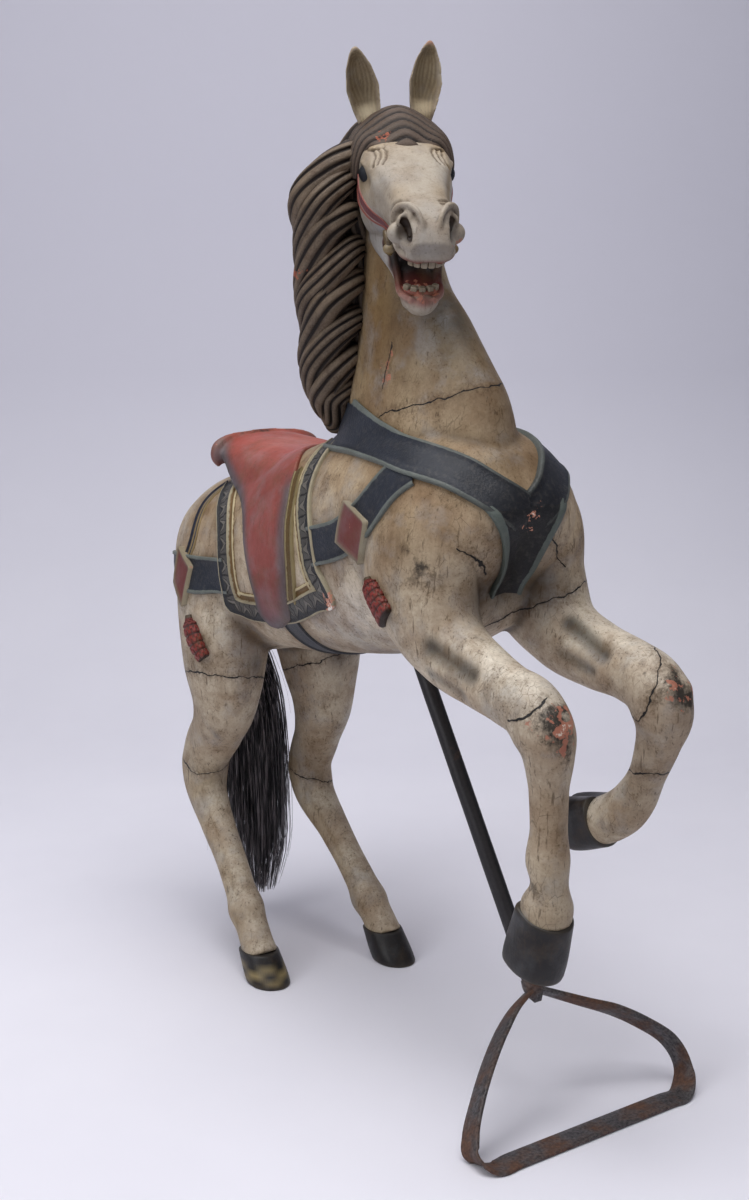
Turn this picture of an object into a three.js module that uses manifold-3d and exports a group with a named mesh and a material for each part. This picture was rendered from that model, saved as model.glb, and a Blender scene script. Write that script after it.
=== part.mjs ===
// A carved carousel horse on its iron prop. Millimetres, +Z up. The horse faces -Y and its left side is +X.
// It is drawn with the front edge of the prop's foot bar near Y = 0 and moved at the end, so that the origin lies
// under the middle of the whole object.
import * as THREE from "three";
import { mergeVertices } from "three/addons/utils/BufferGeometryUtils.js";
import Module from "manifold-3d";

const wasm = await Module();
wasm.setup();

// ---------------------------------------------------------------- driving dimensions

const FORE_X = 108; // middle of each foreleg
const BACK_X = 105; // middle of each hock
const HEAD_YAW = 26; // degrees, turned to the horse's right
const HEAD_PITCH = 22; // degrees, nose below level
const POLL = [14, 518, 1432];

const STRAP = { width: 66, proud: 6 };
const DROP = { width: 56, proud: 7.5, flare: 44 }; // hangs between the forelegs, wide where the breast straps meet
const BORDER = { width: 38, proud: 5 }; // carved edge of the saddle cloth
const GIRTH = { width: 48, proud: 4 };
const CRUPPER = { width: 22, proud: 3 };

const ROD_RADIUS = 13.5;
const GAP = 0.3; // left between the iron, the hair and the wood
const FOOT = { apex: [0, 126, 177], width: 40, thick: 6 };
const ROD_TOP = [0, 440, 662];

const V = (x, y, z) => new THREE.Vector3(x, y, z);
const at = (list) => V(...list);
const spline = (points) => new THREE.CatmullRomCurve3(points, false, "centripetal");

// ---------------------------------------------------------------- solids

// A closed geometry as a manifold-3d solid, turned the right way out.
function solidOf(geometry) {
  const bare = new THREE.BufferGeometry();
  bare.setAttribute("position", geometry.getAttribute("position"));
  if (geometry.index) bare.setIndex(geometry.index);
  const merged = mergeVertices(bare, 1e-3);
  const mesh = (triVerts) =>
    new wasm.Mesh({ numProp: 3, vertProperties: merged.attributes.position.array, triVerts });
  const triVerts = new Uint32Array(merged.index.array);
  const solid = new wasm.Manifold(mesh(triVerts));
  return solid.volume() > 0 ? solid : new wasm.Manifold(mesh(triVerts.reverse()));
}

function join(solids) {
  return solids.reduce((sum, next) => sum.add(next));
}

// The outer shell of a solid, so that no pocket stays closed in between two carvings.
const outerShell = (solid) => solid.decompose().reduce((a, b) => (a.volume() > b.volume() ? a : b));

function geometryOf(solid) {
  const { numProp, numVert, vertProperties, triVerts } = solid.getMesh();
  const position = new Float32Array(numVert * 3);
  for (let i = 0; i < numVert; i++) {
    position.set(vertProperties.subarray(i * numProp, i * numProp + 3), i * 3);
  }
  const geometry = new THREE.BufferGeometry();
  geometry.setAttribute("position", new THREE.BufferAttribute(position, 3));
  geometry.setIndex(new THREE.BufferAttribute(triVerts, 1));
  geometry.computeVertexNormals();
  return geometry;
}

// Rings of points, each ring a closed loop of the same length, skinned and capped at both ends.
function skin(rings) {
  const sides = rings[0].length;
  const points = rings.flat();
  const faces = [];
  for (let i = 0; i + 1 < rings.length; i++) {
    for (let j = 0; j < sides; j++) {
      const [a, b] = [i * sides + j, i * sides + ((j + 1) % sides)];
      faces.push(a, b, a + sides, b, b + sides, a + sides);
    }
  }
  for (const [start, flip] of [[0, true], [(rings.length - 1) * sides, false]]) {
    const middle = points.length;
    const cap = points.slice(start, start + sides);
    points.push(cap.reduce((sum, p) => sum.clone().add(p), V(0, 0, 0)).divideScalar(sides));
    for (let j = 0; j < sides; j++) {
      const [a, b] = [start + j, start + ((j + 1) % sides)];
      faces.push(middle, flip ? b : a, flip ? a : b);
    }
  }
  const geometry = new THREE.BufferGeometry().setFromPoints(points);
  geometry.setIndex(faces);
  return solidOf(geometry);
}

// A trunk or limb: stations [x, y, z, half width, reach a, reach b] along a smooth spine. A section lies across the
// spine; its width runs along the side axis, reach a along tangent x side, and reach b the other way.
function loft(stations, { rings, sides, side = V(1, 0, 0), square = 2 }) {
  const spine = spline(stations.map(([x, y, z]) => V(x, y, z)));
  const sizes = spline(stations.map(([, , , half, a, b]) => V(half, a, b)));
  const bulge = (v) => Math.sign(v) * Math.abs(v) ** (2 / square);
  const made = [];
  for (let i = 0; i <= rings; i++) {
    const t = i / rings;
    const centre = spine.getPoint(t);
    const across = V().crossVectors(spine.getTangent(t), side).normalize();
    const { x: half, y: a, z: b } = sizes.getPoint(t);
    const ring = [];
    for (let j = 0; j < sides; j++) {
      const angle = (2 * Math.PI * j) / sides;
      const [c, s] = [bulge(Math.cos(angle)), bulge(Math.sin(angle))];
      ring.push(centre.clone().addScaledVector(side, half * c).addScaledVector(across, (s > 0 ? a : b) * s));
    }
    made.push(ring);
  }
  return skin(made);
}

// A lock or rim that lies on a rounded form: stations [point, core, half width, half thickness], where core is the
// point inside the form that the lock's back faces.
function lock(stations, { rings, sides }) {
  const path = spline(stations.map(([point]) => point));
  const cores = spline(stations.map(([, core]) => core));
  const sizes = spline(stations.map(([, , half, thick], i) => V(half, thick, i)));
  const made = [];
  for (let i = 0; i <= rings; i++) {
    const t = i / rings;
    const centre = path.getPoint(t);
    const tangent = path.getTangent(t);
    const outward = centre.clone().sub(cores.getPoint(t));
    outward.addScaledVector(tangent, -outward.dot(tangent)).normalize();
    const across = V().crossVectors(tangent, outward);
    const { x: half, y: thick } = sizes.getPoint(t);
    const ring = [];
    for (let j = 0; j < sides; j++) {
      const angle = (2 * Math.PI * j) / sides;
      ring.push(
        centre.clone()
          .addScaledVector(across, half * Math.cos(angle))
          .addScaledVector(outward, thick * Math.sin(angle)),
      );
    }
    made.push(ring);
  }
  return skin(made);
}

function ball(centre, radii) {
  const geometry = new THREE.SphereGeometry(1, 8, 4);
  return solidOf(geometry.scale(...radii).translate(centre.x, centre.y, centre.z));
}

// ---------------------------------------------------------------- trunk and neck

// From chest to rump: [x, y, z, half width, reach down, reach up].
const TRUNK = [
  [0, 176, 850, 40, 40, 40],
  [0, 190, 856, 105, 95, 90],
  [0, 222, 862, 142, 148, 128],
  [0, 290, 868, 156, 182, 162],
  [0, 400, 860, 157, 197, 170],
  [0, 500, 832, 158, 197, 172],
  [0, 600, 803, 158, 187, 176],
  [0, 700, 776, 156, 176, 166],
  [0, 800, 752, 156, 165, 163],
  [0, 900, 728, 154, 165, 165],
  [0, 980, 706, 140, 150, 150],
  [0, 1035, 690, 105, 110, 110],
  [0, 1065, 682, 40, 40, 40],
];
const trunk = () => loft(TRUNK, { rings: 16, sides: 18, square: 2.2 });

// The point inside the trunk that a strap at this place presses towards.
function trunkCore(point) {
  const y = THREE.MathUtils.clamp(point.y, 300, 960);
  const next = TRUNK.findIndex((station) => station[1] >= y);
  const [a, b] = [TRUNK[next - 1], TRUNK[next]];
  const t = (y - a[1]) / (b[1] - a[1]);
  return V(0, y, a[2] + t * (b[2] - a[2]));
}

// From the shoulders up: [x, y, z, half width, reach back, reach forward].
const NECK = [
  [0, 420, 800, 110, 180, 180],
  [0, 410, 940, 112, 190, 192],
  [0, 405, 1020, 98, 185, 180],
  [-4, 412, 1080, 84, 165, 158],
  [-8, 422, 1150, 69, 138, 116],
  [-12, 437, 1215, 58, 115, 76],
  [-12, 452, 1290, 53, 95, 58],
  [-6, 472, 1360, 54, 82, 62],
  [0, 492, 1420, 50, 68, 56],
  [4, 502, 1462, 38, 48, 40],
];
const neck = () => loft(NECK, { rings: 10, sides: 14 });

// ---------------------------------------------------------------- head

const yaw = THREE.MathUtils.degToRad(HEAD_YAW);
const pitch = THREE.MathUtils.degToRad(HEAD_PITCH);
const HEAD_SIDE = V(Math.cos(yaw), -Math.sin(yaw), 0);
const HEAD_AXIS = V(-Math.sin(yaw) * Math.cos(pitch), -Math.cos(yaw) * Math.cos(pitch), -Math.sin(pitch));
const HEAD_TOP = V().crossVectors(HEAD_AXIS, HEAD_SIDE).normalize();

// A point in the head: along from the poll to the nose, to the horse's left, and up from the axis.
const inHead = (along, left, up) =>
  at(POLL).addScaledVector(HEAD_AXIS, along).addScaledVector(HEAD_SIDE, left).addScaledVector(HEAD_TOP, up);

// Stations [along, up, half width, reach up, reach down] in the head.
const headLoft = (stations, options) =>
  loft(
    stations.map(([along, up, ...size]) => [...inHead(along, 0, up).toArray(), ...size]),
    { side: HEAD_SIDE, ...options },
  );

const SKULL = [
  [-40, -8, 30, 30, 40],
  [-15, 0, 46, 46, 60],
  [30, 2, 56, 54, 84],
  [75, 4, 66, 54, 104],
  [118, 6, 71, 48, 104],
  [160, 4, 64, 42, 86],
  [210, 0, 53, 36, 52],
  [260, -4, 44, 32, 34],
  [300, -6, 45, 32, 30],
  [330, -10, 41, 24, 26],
  [352, -18, 30, 12, 16],
];
const JAW = [
  [60, -60, 40, 30, 40],
  [110, -76, 50, 36, 46],
  [160, -84, 44, 32, 34],
  [215, -92, 34, 22, 26],
  [265, -104, 28, 16, 22],
  [300, -112, 28, 14, 20],
  [322, -114, 18, 8, 12],
];

// Teeth stand side by side on an arc, above or below the gap of the open mouth.
function teeth(along, up) {
  const made = [];
  const count = 5;
  for (let i = 0; i < count; i++) {
    const angle = ((i - (count - 1) / 2) / count) * 2.4;
    const geometry = new THREE.BoxGeometry(9, 9, 22);
    geometry.applyMatrix4(new THREE.Matrix4().makeBasis(HEAD_AXIS, HEAD_SIDE, HEAD_TOP));
    const place = inHead(along + 26 * Math.cos(angle), 25 * Math.sin(angle), up);
    made.push(solidOf(geometry.translate(place.x, place.y, place.z)));
  }
  return join(made);
}

// Ear stations from root to tip: [share of length, half width, half depth]. The hollow is the same form, smaller
// and further forward.
function ear(root, tip) {
  const sizes = [
    [0, 15, 13],
    [0.25, 22, 17],
    [0.5, 26, 17],
    [0.75, 20, 13],
    [0.93, 10, 8],
    [1, 3, 3],
  ];
  const form = (forward, scale, from) =>
    loft(
      sizes
        .filter(([t]) => t >= from)
        .map(([t, half, depth]) => {
          const p = root.clone().lerp(tip, t).addScaledVector(HEAD_AXIS, forward);
          return [...p.toArray(), half * scale, depth * scale, depth * scale];
        }),
      { rings: 5, sides: 8, side: HEAD_SIDE },
    );
  return form(0, 1, 0).subtract(form(15, 0.8, 0.25));
}

// The forelock lies over the brow like a parted cap, its front edge standing proud of the forehead.
function forelock() {
  const stations = [
    [78, -72, -10, 9, 6],
    [66, -71, 14, 24, 11],
    [46, -58, 42, 40, 15],
    [32, -32, 60, 50, 18],
    [24, 0, 74, 54, 20],
    [32, 32, 60, 50, 18],
    [46, 58, 42, 40, 15],
    [66, 71, 14, 24, 11],
    [78, 72, -10, 9, 6],
  ];
  return lock(
    stations.map(([along, left, up, ...size]) => [inHead(along, left, up), inHead(along, 0, -10), ...size]),
    { rings: 10, sides: 8 },
  );
}

function head() {
  const skull = headLoft(SKULL, { rings: 12, sides: 14, square: 2.3 });
  const jaw = headLoft(JAW, { rings: 7, sides: 10, square: 2.3 });
  const added = [skull, jaw, forelock(), teeth(303, -36), teeth(282, -92)];
  added.push(ear(V(-34, 512, 1470), V(-73, 500, 1587)), ear(V(42, 484, 1478), V(49, 470, 1601)));
  const cut = [];
  for (const sign of [-1, 1]) {
    added.push(ball(inHead(122, sign * 62, 16), [15, 15, 13]));
    added.push(ball(inHead(108, sign * 48, 31), [24, 22, 13]));
    added.push(ball(inHead(302, sign * 30, 8), [22, 22, 22]));
    cut.push(ball(inHead(318, sign * 30, 10), [11, 13, 15]));
  }
  return join(added).subtract(join(cut));
}

// ---------------------------------------------------------------- mane

// The mane is a twisted mass behind the neck, on its right. Stations: [x, y, z, half across, half deep].
const MANE = [
  [-50, 530, 1450, 22, 32],
  [-80, 545, 1400, 38, 54],
  [-88, 548, 1361, 45, 63],
  [-74, 552, 1313, 45, 65],
  [-69, 555, 1254, 49, 65],
  [-66, 560, 1207, 47, 65],
  [-55, 568, 1148, 43, 61],
  [-56, 577, 1095, 41, 55],
  [-42, 585, 1045, 29, 43],
  [-34, 588, 1018, 14, 24],
];
const MANE_ACROSS = V(-0.819, 0.574, 0); // from the neck to the mane's outer edge
const MANE_NEAR = V(-0.574, -0.819, 0); // towards the horse's right front
const LOCK_TOPS = [1430, 1388, 1336, 1288, 1240, 1186, 1136, 1090];

const maneLine = spline(MANE.map(([x, y, z]) => V(x, y, z)));
const maneSize = spline(MANE.map(([, , , across, deep], i) => V(across, deep, 60 * i)));

// The mane's surface and its middle at a height, at an angle that grows from its outer edge to its near side.
function onMane(z, degrees) {
  const t = THREE.MathUtils.clamp((MANE[0][2] - z) / (MANE[0][2] - MANE.at(-1)[2]), 0, 1);
  const core = maneLine.getPointAt(t);
  const size = maneSize.getPointAt(t);
  const angle = THREE.MathUtils.degToRad(degrees);
  const point = core.clone()
    .addScaledVector(MANE_ACROSS, size.x * Math.cos(angle))
    .addScaledVector(MANE_NEAR, size.y * Math.sin(angle));
  return [point, core];
}

function mane() {
  const mass = loft(
    MANE.map(([x, y, z, across, deep]) => [x, y, z, across * 0.95, deep * 0.95, deep * 0.95]),
    { rings: 8, sides: 8, side: MANE_ACROSS },
  );
  // Each lock falls from the neck, round the outer edge, and curls away behind: [angle, drop, half width, thickness].
  const fall = [
    [160, 0, 14, 10],
    [120, 10, 22, 18],
    [75, 34, 26, 24],
    [35, 66, 27, 25],
    [0, 102, 24, 21],
    [-40, 132, 17, 14],
    [-85, 148, 8, 6],
  ];
  const locks = LOCK_TOPS.map((top) =>
    lock(
      fall.map(([degrees, drop, half, thick]) => [...onMane(top - drop, degrees), half, thick]),
      { rings: 7, sides: 6 },
    ),
  );
  return join([mass, ...locks]);
}

// ---------------------------------------------------------------- legs and hooves

// From the body down: [x, y, z, half width, reach forward, reach back].
const LEGS = {
  foreRight: [
    [-92, 345, 915, 50, 90, 95],
    [-103, 300, 850, 66, 118, 112],
    [-107, 258, 770, 63, 88, 100],
    [-108, 200, 716, 54, 56, 66],
    [-FORE_X, 120, 686, 47, 48, 50],
    [-FORE_X, 63, 670, 42, 44, 44],
    [-FORE_X, 16, 660, 44, 46, 46],
    [-FORE_X, -12, 630, 44, 44, 46],
    [-FORE_X, -20, 600, 38, 38, 38],
    [-FORE_X, -23, 557, 28, 29, 29],
    [-FORE_X, -25, 500, 26, 27, 28],
    [-FORE_X, -26, 455, 31, 30, 36],
    [-FORE_X, -29, 420, 27, 27, 27],
    [-FORE_X, -25, 386, 37, 39, 39],
    [-FORE_X, -22, 364, 36, 38, 38],
  ],
  foreLeft: [
    [92, 345, 915, 50, 90, 95],
    [103, 300, 850, 66, 118, 112],
    [107, 258, 770, 63, 88, 100],
    [108, 200, 714, 56, 58, 66],
    [FORE_X, 120, 690, 50, 52, 54],
    [FORE_X, 46, 680, 45, 47, 48],
    [FORE_X, -2, 664, 46, 48, 48],
    [FORE_X, -21, 628, 44, 46, 46],
    [FORE_X, -14, 585, 34, 35, 35],
    [FORE_X, 6, 530, 28, 28, 28],
    [FORE_X, 28, 488, 31, 32, 34],
    [FORE_X, 52, 462, 33, 36, 36],
    [FORE_X, 90, 438, 36, 38, 36],
    [FORE_X, 112, 428, 35, 37, 35],
  ],
  hindRight: [
    [-80, 880, 760, 76, 130, 150],
    [-92, 880, 660, 76, 104, 130],
    [-100, 874, 566, 70, 84, 100],
    [-103, 872, 485, 58, 66, 72],
    [-BACK_X, 898, 425, 46, 50, 60],
    [-106, 937, 368, 40, 44, 61],
    [-108, 946, 315, 37, 42, 55],
    [-110, 907, 250, 31, 36, 37],
    [-112, 854, 192, 28, 31, 32],
    [-115, 808, 136, 28, 30, 31],
    [-118, 774, 84, 33, 34, 36],
    [-120, 750, 60, 35, 38, 36],
    [-120, 738, 48, 33, 36, 34],
  ],
  hindLeft: [
    [80, 880, 760, 76, 130, 150],
    [92, 880, 640, 76, 104, 130],
    [100, 872, 535, 70, 84, 94],
    [103, 868, 452, 56, 62, 64],
    [BACK_X, 890, 380, 42, 46, 50],
    [106, 917, 318, 38, 44, 50],
    [108, 912, 272, 36, 42, 50],
    [110, 842, 206, 29, 30, 34],
    [112, 793, 160, 27, 28, 30],
    [115, 750, 115, 29, 30, 33],
    [118, 722, 78, 32, 33, 35],
    [120, 703, 60, 35, 38, 35],
    [121, 694, 48, 33, 36, 33],
  ],
};
const legs = () => Object.values(LEGS).map((stations) => loft(stations, { rings: 16, sides: 10 }));

// A hoof: rings from the coronet to a flat sole, each a circle cut straight at the heel.
function hoof({ coronet, sole, toe, width, length }) {
  const axis = at(sole).sub(at(coronet)).normalize();
  const side = V().crossVectors(at(toe), axis).normalize();
  const made = [];
  for (const [t, grow] of [[0, 0.94], [0.12, 1], [1, 1.06]]) {
    const centre = at(coronet).lerp(at(sole), t);
    const ring = [];
    for (let j = 0; j < 14; j++) {
      const angle = (2 * Math.PI * j) / 14;
      ring.push(
        centre.clone()
          .addScaledVector(side, (grow * width * Math.cos(angle)) / 2)
          .addScaledVector(at(toe), (grow * length * Math.max(Math.sin(angle), -0.75)) / 2),
      );
    }
    made.push(ring);
  }
  return skin(made);
}

const HOOVES = [
  { coronet: [-120, 742, 52], sole: [-120, 718, 0], toe: [0, -1, 0], width: 70, length: 84 },
  { coronet: [121, 697, 52], sole: [121, 668, 0], toe: [0, -1, 0], width: 70, length: 84 },
  { coronet: [-108, -22, 376], sole: [-108, 2, 290], toe: [0, -0.93, -0.37], width: 82, length: 94 },
  { coronet: [108, 94, 440], sole: [108, 168, 416], toe: [0, -0.33, -0.944], width: 80, length: 96 },
];

// ---------------------------------------------------------------- what lies on the skin

const body = join([trunk(), neck(), head(), ...legs()]);
const skinMesh = new THREE.Mesh(geometryOf(body), new THREE.MeshBasicMaterial({ side: THREE.DoubleSide }));
const FAR = 60; // how far outside a guide point the search for the skin starts
const SUNK = 12; // how deep the back of a strap lies under the skin

// The point on the skin that is met on the way from outside a guide point to its core.
function onSkin(guide, core) {
  const inward = core.clone().sub(guide).normalize();
  const from = guide.clone().addScaledVector(inward, -FAR);
  const hit = new THREE.Raycaster(from, inward).intersectObject(skinMesh)[0];
  return { point: hit ? hit.point : guide.clone(), inward };
}

// A carved strap: a band laid on the skin along a smooth line through guide points, sunk a little at its back. Its
// start may flare wider.
function strap(guides, { width, proud, flare = 0 }, { rings, core = trunkCore }) {
  const line = spline(guides.map(at));
  const lanes = [-0.5, 0, 0.5];
  const made = [];
  for (let i = 0; i <= rings; i++) {
    const centre = line.getPointAt(i / rings);
    const inward = core(centre).sub(centre).normalize();
    const side = V().crossVectors(line.getTangentAt(i / rings), inward).normalize();
    const met = lanes.map((lane) => {
      const wide = width + flare * (1 - i / rings) ** 3;
      const guide = centre.clone().addScaledVector(side, lane * wide);
      return onSkin(guide, core(guide));
    });
    const outer = met.map(({ point, inward: way }) => point.clone().addScaledVector(way, -proud));
    const [first, , last] = met.map(({ point, inward: way }) => point.clone().addScaledVector(way, SUNK));
    made.push([...outer, last, first]);
  }
  return skin(made);
}

const mirrored = (guides) => guides.map(([x, y, z]) => [-x, y, z]);

// Guide lines on the horse's right side; the left side is the same, mirrored.
const BREAST = [
  [-60, 560, 985],
  [-96, 450, 1000],
  [-112, 362, 990],
  [-102, 282, 970],
  [-72, 218, 950],
  [-40, 186, 925],
  [-6, 178, 900],
];
const BREAST_DROP = [
  [0, 180, 925],
  [0, 176, 860],
  [0, 195, 790],
  [0, 240, 745],
];
const FRONT_SIDE = [
  [-155, 500, 826],
  [-157, 420, 850],
  [-154, 360, 888],
  [-126, 300, 945],
];
const REAR_SIDE = [
  [-153, 775, 735],
  [-157, 860, 726],
  [-146, 950, 718],
  [-80, 1040, 700],
  [0, 1064, 690],
];
const GIRTH_LINE = [
  [-140, 612, 700],
  [-90, 606, 660],
  [0, 602, 644],
  [90, 606, 660],
  [140, 612, 700],
];
const CRUPPER_LINE = [
  [-90, 882, 888],
  [-122, 905, 850],
  [-149, 898, 770],
];
const CLOTH_EDGE = [
  [-60, 570, 1000],
  [-112, 550, 955],
  [-138, 535, 905],
  [-156, 512, 845],
  [-154, 496, 785],
  [-149, 480, 762],
  [-147, 482, 748],
  [-142, 510, 737],
  [-134, 600, 702],
  [-133, 690, 688],
  [-138, 752, 686],
  [-142, 763, 692],
  [-148, 768, 712],
  [-148, 786, 808],
  [-118, 835, 862],
  [-84, 862, 884],
];
const DIAMONDS = [
  { middle: [-156, 378, 866], up: [0, 0.46, 0.89], half: [49, 56] },
  { middle: [-151, 914, 718], up: [0, 0.45, 0.89], half: [46, 56] },
];
const TASSELS = [
  [[-168, 327, 804], [-167, 267, 744]],
  [[-167, 874, 655], [-159, 830, 575]],
];

// A raised lozenge seated on the skin.
function diamond({ middle, up, half }, sign) {
  const upward = at(up);
  const centre = V(sign * middle[0], middle[1], middle[2]);
  const inward = trunkCore(centre).sub(centre).normalize();
  const along = V().crossVectors(upward, inward).normalize();
  const corners = [[0, half[1]], [half[0], 0], [0, -half[1]], [-half[0], 0]];
  const ring = (proud, scale) =>
    corners.map(([a, b]) => {
      const guide = centre.clone().addScaledVector(along, a * scale).addScaledVector(upward, b * scale);
      const { point, inward: way } = onSkin(guide, trunkCore(guide));
      return point.addScaledVector(way, -proud);
    });
  return skin([ring(-SUNK, 1), ring(11, 1), ring(13, 0.8)]);
}

// A tassel: a flattened tuft that widens to its fringe.
function tassel([top, tip], sign) {
  const points = [0, 0.12, 0.6, 1].map((t) => {
    const guide = at(top).lerp(at(tip), t);
    guide.x *= sign;
    return onSkin(guide, trunkCore(guide));
  });
  const sizes = [[7, 8], [13, 9], [17, 10], [19, 9]];
  return lock(
    points.map(({ point, inward }, i) => [point, point.clone().addScaledVector(inward, 50), ...sizes[i]]),
    { rings: 4, sides: 6 },
  );
}

function harness() {
  const made = [
    strap(BREAST_DROP, DROP, { rings: 8 }),
    strap(GIRTH_LINE, GIRTH, { rings: 8 }),
  ];
  for (const sign of [1, -1]) {
    const side = (line) => (sign > 0 ? line : mirrored(line));
    made.push(strap(side(BREAST), STRAP, { rings: 10 }));
    made.push(strap(side(FRONT_SIDE), STRAP, { rings: 5 }));
    made.push(strap(side(REAR_SIDE), STRAP, { rings: 7 }));
    made.push(strap(side(CRUPPER_LINE), CRUPPER, { rings: 4 }));
    made.push(strap(side(CLOTH_EDGE), BORDER, { rings: 22 }));
    made.push(...DIAMONDS.map((lozenge) => diamond(lozenge, sign)));
    made.push(...TASSELS.map((line) => tassel(line, sign)));
  }
  return join(made);
}

// ---------------------------------------------------------------- saddle

// The saddle is one sheet draped over the back, from one flap's tip across the seat to the other. Stations from the
// middle of the seat down the right side: [its back edge, its front edge].
const SADDLE = [
  [[0, 893, 966], [0, 690, 950]],
  [[-58, 894, 960], [-62, 655, 950]],
  [[-94, 890, 942], [-112, 600, 925]],
  [[-112, 836, 898], [-140, 578, 892]],
  [[-138, 737, 844], [-152, 570, 850]],
  [[-152, 705, 775], [-157, 563, 775]],
  [[-150, 690, 720], [-146, 574, 725]],
  [[-137, 692, 685], [-134, 592, 688]],
  [[-128, 672, 666], [-127, 632, 667]],
];
const SADDLE_PROUD = 12; // above the skin, in the middle of a flap

function saddle() {
  const whole = [...SADDLE.slice(1).reverse(), ...SADDLE.map(mirrored)];
  const backs = spline(whole.map(([back]) => at(back)));
  const fronts = spline(whole.map(([, front]) => at(front)));
  const rows = 24;
  const lanes = [0, 0.15, 0.5, 0.85, 1];
  const made = [];
  for (let i = 0; i <= rows; i++) {
    const met = lanes.map((lane) => {
      const guide = backs.getPoint(i / rows).lerp(fronts.getPoint(i / rows), lane);
      const core = trunkCore(guide);
      const { point, inward } = onSkin(guide, core);
      const proud = SADDLE_PROUD * (1 - 0.5 * (2 * lane - 1) ** 2);
      const reach = Math.max(guide.distanceTo(core), point.distanceTo(core) + proud);
      return { point, inward, outer: core.addScaledVector(inward, -reach) };
    });
    const [first, , , , last] = met.map(({ point, inward }) => point.addScaledVector(inward, SUNK));
    made.push([...met.map(({ outer }) => outer), last, first]);
  }
  // The back edge of the cantle is rolled over, and ends in a curl on each side.
  const rim = loft(
    [-100, -96, -60, 0, 60, 96, 100].map((x) => [x, 894, 963 - 34 * (x / 100) ** 2, 12, 12, 12]),
    { rings: 8, sides: 6, side: V(0, 1, 0) },
  );
  return skin(made).add(rim);
}

// ---------------------------------------------------------------- tail, rod and foot

const TAIL = [
  [0, 1042, 742, 14, 14, 14],
  [0, 1060, 742, 14, 14, 14],
  [0, 1086, 742, 14, 14, 14],
  [6, 1112, 714, 20, 20, 20],
  [20, 1108, 640, 34, 20, 20],
  [30, 1062, 540, 50, 24, 24],
  [32, 1020, 440, 60, 28, 28],
  [32, 1002, 300, 64, 30, 30],
  [28, 992, 150, 62, 28, 28],
  [26, 987, 50, 36, 16, 16],
];
const tail = () => loft(TAIL, { rings: 16, sides: 10 });

// A round bar between two points.
function bar(from, to, radius) {
  const length = from.distanceTo(to);
  const geometry = new THREE.CylinderGeometry(radius, radius, length, 20).rotateX(Math.PI / 2);
  const frame = new THREE.Object3D();
  frame.position.copy(from).lerp(to, 0.5);
  frame.lookAt(to);
  frame.updateMatrix();
  return solidOf(geometry.applyMatrix4(frame.matrix));
}

const ROD_LINE = at(ROD_TOP).sub(at(FOOT.apex)).normalize();
const ROD_FOOT = at(FOOT.apex).addScaledVector(ROD_LINE, 16);

// The foot is one strap: flat on the floor along its bar, bent round and up each side, and met at the rod.
function foot() {
  const slope = at(FOOT.apex).normalize();
  const reach = at(FOOT.apex).length();
  const limb = V().crossVectors(slope, V(1, 0, 0)).normalize(); // width of the strap on the limbs
  const flat = V(0, 1, 0); // width of the strap on the floor
  const up = (x, u, turn) => [V(x, 0, 0).addScaledVector(slope, u), turn];
  const floor = (x) => [V(x, -FOOT.width / 2 + 6, FOOT.thick / 2), 0];
  const route = [
    up(-4, reach - 2, 1),
    up(-48, 195, 1),
    up(-86, 168, 1),
    up(-126, 132, 1),
    up(-165, 90, 1),
    up(-197, 48, 0.8),
    up(-206, 22, 0.4),
    floor(-186),
    floor(-150),
    floor(0),
    floor(150),
    floor(182),
    up(217, 22, 0.4),
    up(222, 48, 0.8),
    up(212, 80, 1),
    up(176, 116, 1),
    up(132, 148, 1),
    up(80, 175, 1),
    up(4, reach - 2, 1),
  ];
  const line = spline(route.map(([point]) => point));
  const turns = spline(route.map(([, turn], i) => V(turn, i, 0)));
  const made = [];
  const steps = 40;
  for (let i = 0; i <= steps; i++) {
    const t = i / steps;
    const tangent = line.getTangent(t);
    const wide = flat.clone().lerp(limb, turns.getPoint(t).x);
    wide.addScaledVector(tangent, -wide.dot(tangent)).normalize();
    const thick = V().crossVectors(tangent, wide);
    const half = (FOOT.width / 2) * Math.min(1, 0.5 + 5 * Math.min(t, 1 - t));
    const corners = [[1, 1], [-1, 1], [-1, -1], [1, -1]];
    const centre = line.getPoint(t);
    made.push(
      corners.map(([a, b]) => {
        const corner = centre.clone().addScaledVector(wide, a * half);
        corner.addScaledVector(thick, (b * FOOT.thick) / 2);
        return corner.setZ(Math.max(corner.z, 0));
      }),
    );
  }
  const knot = loft(
    [[-22, 6, 5], [-10, 14, 10], [4, 17, 14], [16 - GAP, 15, 14]].map(([along, half, deep]) => [
      ...at(FOOT.apex).addScaledVector(ROD_LINE, along).toArray(),
      half,
      deep,
      deep,
    ]),
    { rings: 5, sides: 10 },
  );
  return skin(made).add(knot);
}

// ---------------------------------------------------------------- the whole object

const socket = bar(at(FOOT.apex), at(ROD_TOP).addScaledVector(ROD_LINE, GAP), ROD_RADIUS + GAP);
const dock = bar(V(0, 1042 - GAP, 742), V(0, 1130, 742), 15);

const paint = (color, roughness, metalness = 0) => new THREE.MeshStandardMaterial({ color, roughness, metalness });
const PIECES = {
  horse: [
    outerShell(join([body, mane(), ...HOOVES.map(hoof), harness(), saddle()]).subtract(socket).subtract(dock)),
    paint(0xb9ab92, 0.6),
  ],
  tail: [tail(), paint(0x2a2524, 0.7)],
  support_rod: [bar(ROD_FOOT, at(ROD_TOP), ROD_RADIUS), paint(0x2c2c2c, 0.6, 0.6)],
  support_foot: [foot(), paint(0x5a4a3e, 0.8, 0.5)],
};

const model = new THREE.Group();
for (const [name, [solid, material]] of Object.entries(PIECES)) {
  const mesh = new THREE.Mesh(geometryOf(solid), material);
  mesh.name = name;
  model.add(mesh);
}
const box = new THREE.Box3().setFromObject(model, true);
model.position.set(-(box.min.x + box.max.x) / 2, -(box.min.y + box.max.y) / 2, -box.min.z);

export default model;
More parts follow.
